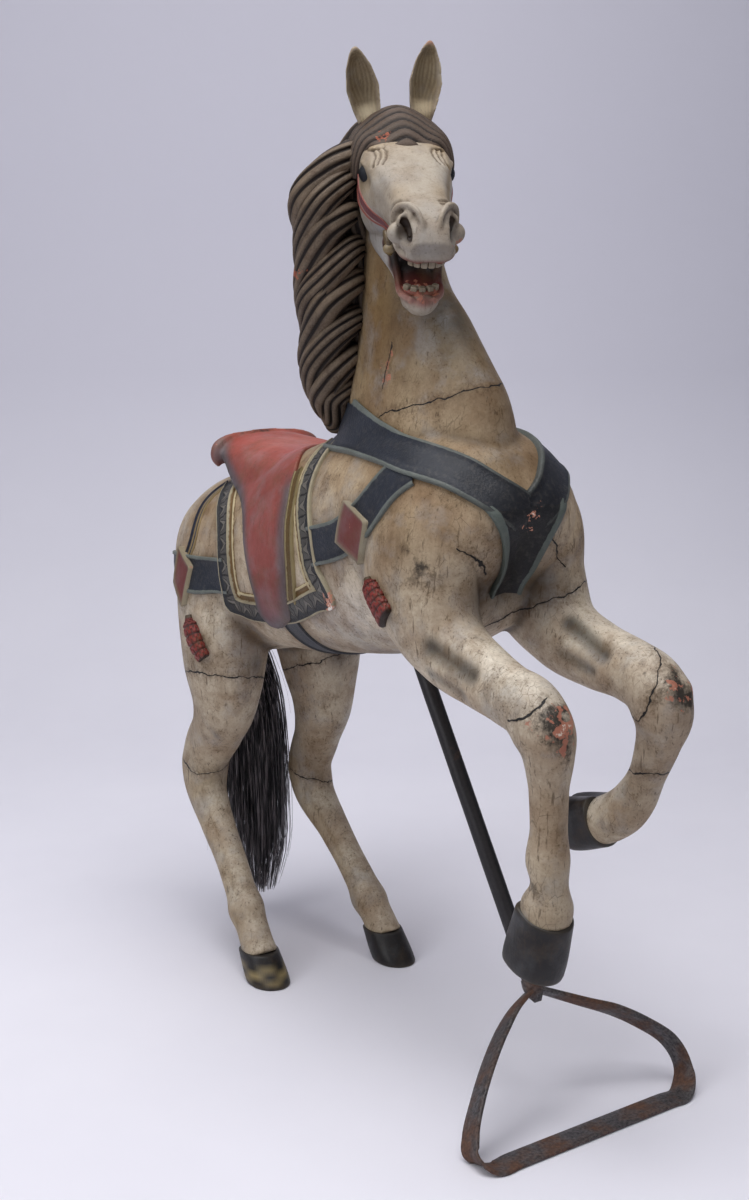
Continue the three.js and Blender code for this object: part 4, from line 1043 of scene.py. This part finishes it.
def make_diamonds(under):
    """Flat lozenges with a raised frame round a dusty red field."""
    u, v = np.meshgrid(np.linspace(-1, 1, 17), np.linspace(-1, 1, 17), indexing="ij")
    shapes, insets = [], []
    for middle, upward, half in DIAMONDS:
        upward = unit(np.array(upward))
        for centre in (*mirrored([middle]), middle):
            along = unit(np.cross(upward, unit(trunk_core(np.array(centre)) - centre)))
            a, b = (u - v) / 2 * half[0], (u + v) / 2 * half[1]
            flat = (centre + a[..., None] * along + b[..., None] * upward).reshape(-1, 3)
            met, way = under.meet(flat, trunk_core(flat))
            inset = (np.minimum(1 - np.abs(u), 1 - np.abs(v)) * min(half) * 0.72).ravel()
            height = np.interp(inset, [0, 0.01, 1.5, 7, 9], [-8, 10, 12, 12, 9])
            shapes.append(sheet((met - way * height[:, None]).reshape(*u.shape, 3)))
            insets.append(inset)
    field = np.clip((np.concatenate(insets) - 7.5) / 1.5, 0, 1)
    piece("diamonds", together(shapes), painted_wood("diamond_paint", warmth=0.3, age=0.4),
          paint=two_tone(field, "857c66", "6e3633"), wear=0.3)


def make_tassels(under):
    """Red tufts hanging from a cord, cut like brickwork by rows of strokes."""
    rows, sides, courses = 110, 96, 7
    cord_end, tuft_start = 0.16, 0.18
    shapes, paints = [], []
    for hung in TASSELS:
        for top, tip in (mirrored(hung), hung):
            line = top + np.array([0, 0.1, 0.2, 0.6, 1.0])[:, None] * (np.array(tip) - top)
            met, way = under.meet(line, trunk_core(line))
            sizes = [(6, 6), (8, 8), (20, 13), (26, 14), (30, 12)]
            grid, _ = lock([(p - w * 4, p + w * 50, *s) for p, w, s in zip(met, way, sizes)], rows, sides)
            run, turn = np.mgrid[0:rows + 1, 0:sides]
            course = np.clip(run / rows - 0.18, 0, 1) / 0.82 * courses
            joint = np.abs(np.cos(math.pi * course)) ** 22
            upright = np.abs(np.cos(math.pi * (turn / sides * 9 + 0.5 * (np.floor(course + 0.5) % 2)))) ** 20
            cut = np.maximum(joint, upright) * (run > rows * tuft_start)
            shapes.append(skin(grid - unit(grid - grid.mean(1, keepdims=True)) * (cut * 2.8)[..., None]))
            # The cuts are painted near-black as shade.
            tuft = two_tone(cut, "86302a", "1f0c0a")
            paints.append(np.where((run < rows * cord_end)[..., None], srgb("4a3a26"), tuft).reshape(-1, 3))
    piece("tassels", together(shapes), painted_wood("tassel_paint", warmth=0.2, age=0.5),
          paint=np.vstack(paints), wear=0.1)


# ---------------------------------------------------------------- saddle

# One sheet draped over the back. Stations from the middle of the seat down: [its back edge, its front edge].
SADDLE = [
    [(0, 893, 966), (0, 690, 950)], [(-58, 894, 960), (-62, 655, 950)], [(-94, 890, 942), (-112, 600, 925)],
    [(-112, 832, 898), (-140, 580, 892)], [(-138, 732, 844), (-152, 574, 850)],
    [(-152, 700, 775), (-157, 571, 775)], [(-150, 686, 720), (-146, 583, 725)],
    [(-137, 688, 685), (-134, 598, 688)], [(-128, 672, 666), (-127, 632, 667)],
]
RIM = [(-91, 891, 914), (-101, 892, 926), (-99, 893, 942), (-80, 895, 955), (-40, 896, 963), (0, 896, 966)]


def make_saddle(under):
    """Red over the seat, dusty grey along the edges, with the cantle's back edge rolled into two curls."""
    rows, cols = 150, 41
    whole = SADDLE[:0:-1] + [mirrored(station) for station in SADDLE]
    t, lane = np.linspace(0, 1, rows), np.linspace(0, 1, cols)[None, :, None]
    back, front = (spline([station[k] for station in whole], t)[:, None] for k in (0, 1))
    guides = back + (front - back) * lane
    flat = guides.reshape(-1, 3)
    cores = trunk_core(flat)
    met, way = under.meet(flat, cores)
    proud = (12 * (1 - 0.5 * np.abs(2 * lane - 1) ** 3) * np.ones((rows, 1, 1))).ravel()
    reach = np.maximum(np.linalg.norm(flat - cores, axis=1), np.linalg.norm(met - cores, axis=1) + proud)
    outer = (cores - way * reach[:, None]).reshape(guides.shape)
    inner = (met + way * 10).reshape(guides.shape)
    rim = RIM + mirrored(RIM[-2::-1])
    roll = [[*p, r, r, r] for p, r in zip(rim, [12, 12, 11, 8, 5, 4, 5, 8, 11, 12, 12])]
    seat, rolled = skin(np.concatenate([outer, inner[:, ::-1]], 1)), skin(loft(roll, 70, 20, side=Y))
    wood = Carving([seat, rolled], 3.4, 5)
    for sign in (-1, 1):
        wood.groove([(sign * 112, 760, 908), (sign * 104, 700, 922), (sign * 96, 660, 934)], 3, 4)
        wood.swell([(sign * 92, 872, 905)], (22, 16, 14), -6)
    wood.ground("914b44")
    x, _, z = wood.co.T
    rear, fore, rim = even(outer[::3, 0], 70), even(outer[::3, -1], 70), even(rim, 40)
    wood.brush(0.85 * np.clip((z - 925) / 30, 0, 1), "a64c40")
    wood.dab((0, 780, 960), (90, 60, 60), 0.35, "c07a66")
    wood.brush(0.8 * np.clip((760 - z) / 90, 0, 1), "5f4d55")
    wood.brush(0.95 * wood.along(rear, 22, 3) * np.clip((np.abs(x) - 70) / 25, 0, 1), "555257")
    wood.brush(0.9 * wood.along(fore, 20, 3) * np.clip((935 - z) / 30, 0, 1), "5d575b")
    wood.brush(0.8 * wood.along(rim, 10), "96503f")
    # Painted shadow in the hollow under each curl of the cantle.
    for sign in (-1, 1):
        wood.dab((sign * 90, 874, 908), (14, 12, 10), 0.9, "1b100d")
    wood.soot = 0.5 * wood.along(rear, 10)
    wood.wear = 0.35 * wood.along(rim, 14)
    piece("saddle", (wood.co, wood.faces), painted_wood("saddle_paint", warmth=0.3, gloss=0.48, age=0.55),
          paint=wood.paint, wear=wood.wear, soot=wood.soot)


# ---------------------------------------------------------------- hair

MANE = [
    [-50, 530, 1450, 22, 32], [-80, 545, 1400, 38, 54], [-88, 548, 1361, 45, 63], [-74, 552, 1313, 45, 65],
    [-69, 555, 1254, 49, 65], [-66, 560, 1207, 47, 65], [-55, 568, 1148, 43, 61], [-56, 577, 1095, 41, 55],
    [-42, 585, 1045, 29, 43], [-34, 588, 1018, 14, 24],
]
MANE_ACROSS, MANE_NEAR = np.array([-0.819, 0.574, 0]), np.array([-0.574, -0.819, 0])
LOCK_TOPS = [1430, 1388, 1336, 1288, 1240, 1186, 1136, 1090]
# How a lock falls: [angle round the mane, drop below its top, half width, half thickness].
FALL = [(165, 0, 14, 10), (122, 6, 22, 18), (78, 34, 26, 24), (38, 76, 27, 25), (2, 126, 24, 21),
        (-38, 164, 17, 14), (-85, 182, 8, 6)]


def on_mane(z, degrees):
    """The mane's surface and its middle at a height, at an angle from its outer edge to its near side."""
    rows = np.array(MANE, float)
    t = np.clip((rows[0, 2] - z) / (rows[0, 2] - rows[-1, 2]), 0, 1)
    row = even(rows, 400)[int(round(t * 399))]
    angle = math.radians(degrees)
    return row[:3] + MANE_ACROSS * row[3] * math.cos(angle) + MANE_NEAR * row[4] * math.sin(angle), row[:3]


def make_mane():
    # A plainer body of hair beneath the locks and between them and the neck, with shallow strands of its own.
    shapes, grooves = [], []
    for size, shift in ((0.86, (0, 0, 0)), (0.66, (30, -26, -12))):
        rows = [[x, y, z, across * size, deep * size, deep * size] for x, y, z, across, deep in MANE]
        grid = loft(rows, 90, 120, side=MANE_ACROSS) + shift
        ring, turn = np.mgrid[0:91, 0:120]
        strands = np.abs(np.cos(turn * math.pi / 120 * 13 + ring * 0.05)) ** 6
        middle = grid.mean(1, keepdims=True)
        shapes.append(skin(grid - (grid - middle) * 0.07 * strands[..., None]))
        grooves.append(0.25 + 0.75 * strands.ravel())
    # The crest, from between the ears down the back of the neck.
    crest = [((-4, 500, 1482), (4, 505, 1430), 24, 9), ((-12, 546, 1476), (0, 512, 1430), 32, 12),
             ((-32, 574, 1438), (-5, 520, 1420), 32, 14), ((-54, 584, 1390), (-20, 530, 1390), 34, 14),
             ((-66, 588, 1330), (-40, 540, 1330), 30, 12), ((-72, 588, 1270), (-50, 545, 1270), 14, 8)]
    grid, groove = lock(crest, 90, 84, strands=4, depth=4.0, phase=0.3)
    shapes.append(skin(grid))
    grooves.append(groove.ravel())
    for n, top in enumerate(LOCK_TOPS):
        swing = 9 * math.sin(2.4 * n)
        stations = [(*on_mane(top - drop - swing * math.sin(drop / 24), degrees), half * 1.04, thick)
                    for degrees, drop, half, thick in FALL]
        grid, groove = lock(stations, 90, 84, strands=3 + n % 2, depth=6.0, phase=0.5 + 0.9 * n)
        shapes.append(skin(grid))
        grooves.append(groove.ravel())
    shape, groove = together(shapes), np.concatenate(grooves)
    wear = np.exp(-(((shape[0] - (-140, 560, 1250)) / (20, 40, 14)) ** 2).sum(1))
    piece("mane", shape, carved_hair("mane_paint"), groove=groove, wear=wear)


def make_forelock():
    """Parted in the middle to a low peak, its strands swept down to both temples."""
    stations = [
        (86, -73, -10, 9, 6), (76, -71, 14, 27, 11), (64, -58, 38, 45, 15), (58, -31, 51, 63, 16),
        (57, 0, 59, 69, 18),
        (58, 31, 51, 63, 16), (64, 58, 38, 45, 15), (76, 71, 14, 27, 11), (86, 73, -10, 9, 6),
    ]
    rows = [(in_head(along, left, up), in_head(along - 13, 0, -10), half, thick)
            for along, left, up, half, thick in stations]
    grid, groove = lock(rows, 150, 120, strands=6, depth=5.5, slant=-7.0, phase=0.0)
    shape = skin(grid)
    centre = in_head(92, -34, 58)
    wear = np.exp(-(((shape[0] - centre) / (22, 22, 14)) ** 2).sum(1))
    paint = carved_hair("forelock_paint", back="53443a", rubbed=0.1)
    piece("forelock", shape, paint, groove=groove.ravel(), wear=wear)


TAIL = [
    [0, 1042, 742, 14, 14, 14], [0, 1060, 742, 14, 14, 14], [0, 1086, 742, 14, 14, 14],
    [6, 1112, 714, 20, 20, 20], [20, 1108, 640, 34, 20, 20], [30, 1062, 540, 50, 24, 24],
    [32, 1020, 440, 60, 28, 28], [32, 1002, 300, 64, 30, 30], [28, 992, 150, 62, 28, 28],
    [26, 987, 50, 36, 16, 16],
]


def make_tail():
    """A hank of loose horsehair: each hair keeps its place in the section and wanders a bit; a few stray."""
    chance = np.random.default_rng(5)
    count, steps, bundles = 1520, 20, 19
    rows = np.array(TAIL, float)
    seat, turn = np.sqrt(chance.random(bundles)) * 0.78, np.arange(bundles) * 2.4
    middle = seat[:, None] * np.c_[np.cos(turn), np.sin(turn)]
    shapes = []
    for n in range(count):
        bundle, stray = n % bundles, n % 14 == 0
        own, reach = chance.normal(0, 0.13, 2), 1 - 0.4 * chance.random() ** 2.5 - 0.12 * (bundle % 4 == 1)
        t = np.linspace(0.06, reach, steps)
        place, size = spline(rows[:, :3], t), spline(rows[:, 3:6], t)
        wave = 0.10 * np.sin(t * 8 + bundle * 1.7) * t + 0.05 * np.sin(t * 11 + n) * t
        wave = wave + stray * chance.normal(0, 0.9) * np.clip(t - 0.3, 0, 1) ** 1.4
        offset = (middle[bundle] + own) * (1 + 0.25 * t[:, None])
        path = place + ((offset[:, 0] + wave) * size[:, 0])[:, None] * X
        path = path + ((offset[:, 1] + wave * 0.4) * size[:, 1])[:, None] * Y
        taper = np.interp(t / reach, [0, 0.8, 1], [1.0, 0.85, 0.25])
        radius = taper[:, None, None] * (0.5 if stray else 0.95)
        angle = np.array([0, 2.09, 4.19])
        ring = np.cos(angle)[:, None] * X + np.sin(angle)[:, None] * Y
        shapes.append(skin(path[:, None] + ring * radius, closed=False))
    core = loft(rows[:7] * [1, 1, 1, 0.5, 0.5, 0.5], 40, 20)
    obj = piece("tail_hair", together(shapes + [skin(core)]), horsehair(), slot="horsehair")
    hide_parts("tail")


# ---------------------------------------------------------------- hooves, mouth, eyes and bridle

# [middle of the coronet, middle of the sole, direction of the toe, width, length]
HOOVES = [
    ((-120, 742, 52), (-120, 708, 0), (0, -1, 0), 70, 84),
    ((121, 697, 52), (121, 658, 0), (0, -1, 0), 70, 84),
    ((-108, -22, 376), (-108, 2, 290), (0, -0.93, -0.37), 82, 94),
    ((108, 94, 440), (108, 168, 416), (0, -0.33, -0.944), 80, 96),
]


def make_hooves():
    """Painted black over the wood, their soles chipped. The right hind one is rubbed down to the wood."""
    shapes, paints, wears = [], [], []
    rise = [0, 0.02, 0.07, 0.12, 0.2, 0.4, 0.6, 0.8, 0.94, 0.985, 1.0]
    grow = [0.93, 0.955, 0.97, 0.975, 0.985, 1.015, 1.04, 1.05, 1.04, 1.02, 0.97]
    for n, (coronet, sole, toe, width, length) in enumerate(HOOVES):
        coronet, sole, toe = (np.array(v, float) for v in (coronet, sole, toe))
        side = unit(np.cross(toe, unit(sole - coronet)))
        angle = np.linspace(0, 2 * math.pi, 56, endpoint=False)
        back = np.sin(angle)
        heel = np.where(back < 0, -0.75 * (1 - (1 - np.clip(-back, 0, 1)) ** 2.2), back)
        notch = 0.10 * np.exp(-((angle - 1.5 * math.pi) / 0.25) ** 2)
        grid = []
        for t, g in zip(rise, grow):
            centre = coronet + t * (sole - coronet)
            grid.append(centre + g * width / 2 * np.cos(angle)[:, None] * side
                        + (g * length / 2 * (heel + notch))[:, None] * toe)
        shapes.append(skin(np.array(grid)))
        level, around = np.repeat(rise, len(angle)), np.tile(angle, len(rise))
        ragged = np.clip(0.55 + 0.6 * np.sin(around * 4 + 3 * np.sin(level * 8)), 0, 1)
        rubbed = 0.9 * (n == 0) * np.exp(-((level - 0.6) / 0.26) ** 4) * ragged
        paints.append(two_tone(rubbed, "1b191a", "9c8c62"))
        wears.append(0.35 * np.clip((level - 0.85) / 0.15, 0, 1))
    paint = painted_wood("hoof_paint", warmth=0.2, gloss=0.42, chips=0.6, age=0.25)
    piece("hooves", together(shapes), paint, paint=np.vstack(paints), wear=np.concatenate(wears))


def make_mouth():
    """Two rows of teeth set in red gums."""
    teeth, gums = [], []
    for along, up, count, tall, radius in ((308, -43, 6, 8, 27), (284, -95, 5, 4.6, 25)):
        for n in range(count):
            angle = ((n - (count - 1) / 2) / count) * 2.2
            centre = in_head(along + radius * math.cos(angle), 27 * math.sin(angle), up)
            turned = HEAD_AXIS * math.cos(angle) + HEAD_SIDE * math.sin(angle)
            rows = np.stack([turned, np.cross(HEAD_TOP, turned), HEAD_TOP])
            teeth.append(ball(centre, (4.6, 4.8, tall), rows, corner=0.35, count=14))
        sign = 1 if up > -60 else -1
        arc = [in_head(along + (radius + 1) * math.cos(a), 29 * math.sin(a), up + sign * 7)
               for a in np.linspace(-1.5, 1.5, 9)]
        gums.append(tube(arc, [6] * 9))
    ivory = painted_wood("tooth_paint", warmth=0.3, gloss=0.45)
    red = painted_wood("gum_paint", warmth=0.2, gloss=0.45)
    piece("teeth", together(teeth), ivory, paint="978d7b", wear=0.1)
    piece("gums", together(gums), red, paint="8a3a32", wear=0.75)


def make_eyes():
    shape = together([ball(in_head(125, sign * 57, 13), (17, 16, 16), count=16) for sign in (-1, 1)])
    local = (shape[0] - POLL) @ HEAD_FRAME.T
    iris = np.clip((np.hypot(local[:, 0] - 125, local[:, 2] - 13) - 6.5) / 2, 0, 1)
    piece("eyes", shape, painted_wood("eye_paint", warmth=0.1, gloss=0.6, chips=0.8, age=0.0),
          paint=two_tone(iris, "020203", "0b0f18"))


def make_bridle(head_skin):
    """The cheek strap lies low on the cheek, and ends in a gilt ring and knob at the corner of the mouth."""
    core = lambda p: POLL + np.clip((p - POLL) @ HEAD_AXIS, 0, 330)[..., None] * HEAD_AXIS - 25 * HEAD_TOP
    made, gilt = [], []
    for sign in (-1, 1):
        line = head_line(sign, (92, 72, -8), (150, 68, -34), (205, 54, -42), (252, 46, -42))
        made.append(ribbon(head_skin, line, beaded(24, bead=3, proud=2.4), step=4, core=core))
        upright = 15 * HEAD_TOP + sign * 4 * HEAD_SIDE
        gilt.append(ring_tube(in_head(262, sign * 47, -42), 15 * HEAD_AXIS, upright, 3.8))
        gilt.append(ball(in_head(276, sign * 47, -46), (9, 9, 8)))
        gilt.append(tube(head_line(sign, (266, 30, -46), (276, 50, -46)), [5, 6]))
    shape, uv = joined(made)
    red = banded_paint("bridle_paint", [(-9, "94544a"), (9, "6e4347"), (99, "94544a")])
    piece("cheek_straps", shape, red, uv=uv, wear=0.5)
    ochre = painted_wood("gilt_paint", warmth=0.6, gloss=0.4)
    piece("bit_rings", together(gilt), ochre, paint="7d6a3c", wear=0.2)


# ---------------------------------------------------------------- iron prop

APEX, ROD_TOP, ROD_RADIUS = np.array([0, 126.0, 177.0]), np.array([0, 440.0, 662.0]), 13.5
STRAP_WIDTH, STRAP_THICK = 40.0, 6.0


def make_rod():
    way = unit(ROD_TOP - APEX)
    start = APEX + 16 * way
    t = np.linspace(0, np.linalg.norm(ROD_TOP - start), 90)
    angle = np.linspace(0, 2 * math.pi, 40, endpoint=False)
    ring = np.cos(angle)[:, None] * X + np.sin(angle)[:, None] * np.cross(way, X)
    worn = ROD_RADIUS + 0.25 * np.sin(t / 23)[:, None] * np.cos(angle * 2) - 0.3
    grid = start + t[:, None, None] * way + worn[:, :, None] * ring
    obj = piece("iron_rod", skin(grid), wrought_iron("dark_iron", 0.05), slot="dark_iron")
    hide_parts("support_rod")


def make_foot():
    slope, reach = unit(APEX), np.linalg.norm(APEX)
    limb = unit(np.cross(slope, X))
    way = unit(ROD_TOP - APEX)
    up = lambda x, u, turn: [*(x * X + u * slope), turn]
    floor = lambda x: [x, -STRAP_WIDTH / 2 + 6, STRAP_THICK / 2, 0]
    route = np.array([
        up(-4, reach - 2, 1), up(-48, 195, 1), up(-86, 168, 1), up(-126, 132, 1), up(-165, 90, 1),
        up(-197, 48, 0.8), up(-206, 22, 0.4), floor(-186), floor(-150), floor(0), floor(150), floor(182),
        up(217, 22, 0.4), up(222, 48, 0.8), up(212, 80, 1), up(176, 116, 1), up(132, 148, 1), up(80, 175, 1),
        up(4, reach - 2, 1),
    ])
    t = np.linspace(0, 1, 221)
    centre, turn = spline(route[:, :3], t), np.interp(t, np.linspace(0, 1, len(route)), route[:, 3])[:, None]
    along = tangents(route[:, :3], t)
    wide = Y * (1 - turn) + limb * turn
    wide = unit(wide - (wide * along).sum(1, keepdims=True) * along)
    thick = np.cross(along, wide)
    half = STRAP_WIDTH / 2 * np.minimum(1, 0.5 + 5 * np.minimum(t, 1 - t))
    section = [(1, 0.5), (0.93, 1), (0.5, 1), (0, 1), (-0.5, 1), (-0.93, 1), (-1, 0.5), (-1, -0.5),
               (-0.93, -1), (-0.5, -1), (0, -1), (0.5, -1), (0.93, -1), (1, -0.5)]
    grid = np.array([centre + wide * (a * half)[:, None] + thick * b * STRAP_THICK / 2 for a, b in section])
    grid = np.swapaxes(grid, 0, 1)
    grid[..., 2] = np.maximum(grid[..., 2], 0.2)
    swelling = ((-22, 6, 5), (-10, 14, 10), (4, 17, 14), (15.7, 15, 14))
    knot = loft([[*(APEX + s * way), wide, deep, deep] for s, wide, deep in swelling], 24, 28)
    iron = wrought_iron("rusted_iron", 0.75)
    obj = piece("iron_foot", together([skin(grid), skin(knot)]), iron, slot="rusted_iron")
    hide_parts("support_foot")


# ---------------------------------------------------------------- room, light and camera

CAMERA_PLACE, SENSOR_HEIGHT, LENS = np.array([-1565.0, -1684.0, 1280.0]), 36.0, 49.98
CAMERA_TURN, CAMERA_DIP = math.radians(-35.01), math.radians(11.76)


def make_camera():
    a, p = CAMERA_TURN, CAMERA_DIP
    view = Vector((-math.sin(a) * math.cos(p), math.cos(a) * math.cos(p), -math.sin(p)))
    right = Vector((math.cos(a), math.sin(a), 0))
    up = right.cross(view)
    data = bpy.data.cameras.new("camera")
    data.sensor_fit = "VERTICAL"
    data.sensor_height = SENSOR_HEIGHT
    data.lens = LENS
    camera = bpy.data.objects.new("camera", data)
    bpy.context.collection.objects.link(camera)
    turn = Matrix((right, up, -view)).transposed().to_4x4()
    camera.matrix_world = Matrix.Translation(Vector(CAMERA_PLACE * MM + ORIGIN)) @ turn
    bpy.context.scene.camera = camera
    return view


def make_room(view):
    """A paper sweep: flat on the floor, then curved up behind the horse."""
    ahead = unit(np.array([view.x, view.y, 0]))
    side = np.cross(ahead, Z)
    eye = CAMERA_PLACE * [1, 1, 0]
    bend, radius = 4100.0, 1500.0
    turn = np.linspace(0, math.pi / 2, 24)
    line = [(-3500.0, 0.0), (0.0, 0.0), (bend, 0.0)]
    line += [(bend + radius * math.sin(a), radius * (1 - math.cos(a))) for a in turn[1:]]
    line.append((bend + radius, 6000.0))
    ends = -7000.0, 7000.0
    rows = [eye + along * ahead + across * side + rise * Z for along, rise in line for across in ends]
    verts = np.array(rows) * MM + ORIGIN - [0, 0, 0.0005]
    faces = [(2 * n, 2 * n + 1, 2 * n + 3, 2 * n + 2) for n in range(len(line) - 1)]
    data = bpy.data.meshes.new("paper_sweep")
    data.from_pydata(verts.tolist(), [], faces)
    data.shade_smooth()
    sweep = bpy.data.objects.new("paper_sweep", data)
    bpy.context.collection.objects.link(sweep)
    data.materials.append(seamless_paper(side))


def make_light(name, place, target, size, watts, colour):
    data = bpy.data.lights.new(name, "AREA")
    data.shape = "RECTANGLE"
    data.size, data.size_y = size
    data.energy = watts
    data.color = colour
    lamp = bpy.data.objects.new(name, data)
    bpy.context.collection.objects.link(lamp)
    lamp.location = Vector(np.array(place) * MM + ORIGIN)
    aim = Vector(np.array(target) * MM + ORIGIN) - lamp.location
    lamp.rotation_euler = aim.to_track_quat("-Z", "Y").to_euler()


def make_lights():
    world = bpy.data.worlds.new("studio")
    bpy.context.scene.world = world
    world.use_nodes = True
    back = world.node_tree.nodes["Background"]
    back.inputs["Color"].default_value = (*srgb("cfd0dc"), 1)
    back.inputs["Strength"].default_value = 0.235
    make_light("ceiling", (-500, 200, 3600), (0, 500, 700), (3.0, 2.6), 102, (1.0, 0.99, 1.0))
    make_light("left_window", (-3300, 300, 2300), (0, 400, 900), (2.2, 2.4), 41, (0.97, 0.98, 1.0))
    make_light("front_fill", (200, -3600, 2400), (0, 300, 900), (2.6, 2.0), 14, (1.0, 0.99, 0.98))


# ---------------------------------------------------------------- the whole object

view = make_camera()
make_room(view)
make_lights()

body = make_body()
head = make_head()
horse_skin = Skin(body)
cream = painted_wood("cream_paint", seams=True, chips=0.54)
dressed = piece("body", (body.co, body.faces), cream, paint=body.paint, wear=body.wear, soot=body.soot)
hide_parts("horse")
face = painted_wood("face_paint", warmth=0.25, age=0.6)
piece("head", (head.co, head.faces), face, paint=head.paint, wear=head.wear, soot=head.soot)
make_harness(horse_skin)
make_cloth_border(horse_skin)
make_diamonds(horse_skin)
make_tassels(horse_skin)
make_saddle(horse_skin)
make_mane()
make_forelock()
make_tail()
make_hooves()
make_mouth()
make_eyes()
make_bridle(Skin(head))
make_rod()
make_foot()

bpy.context.scene.view_settings.view_transform = "Standard"
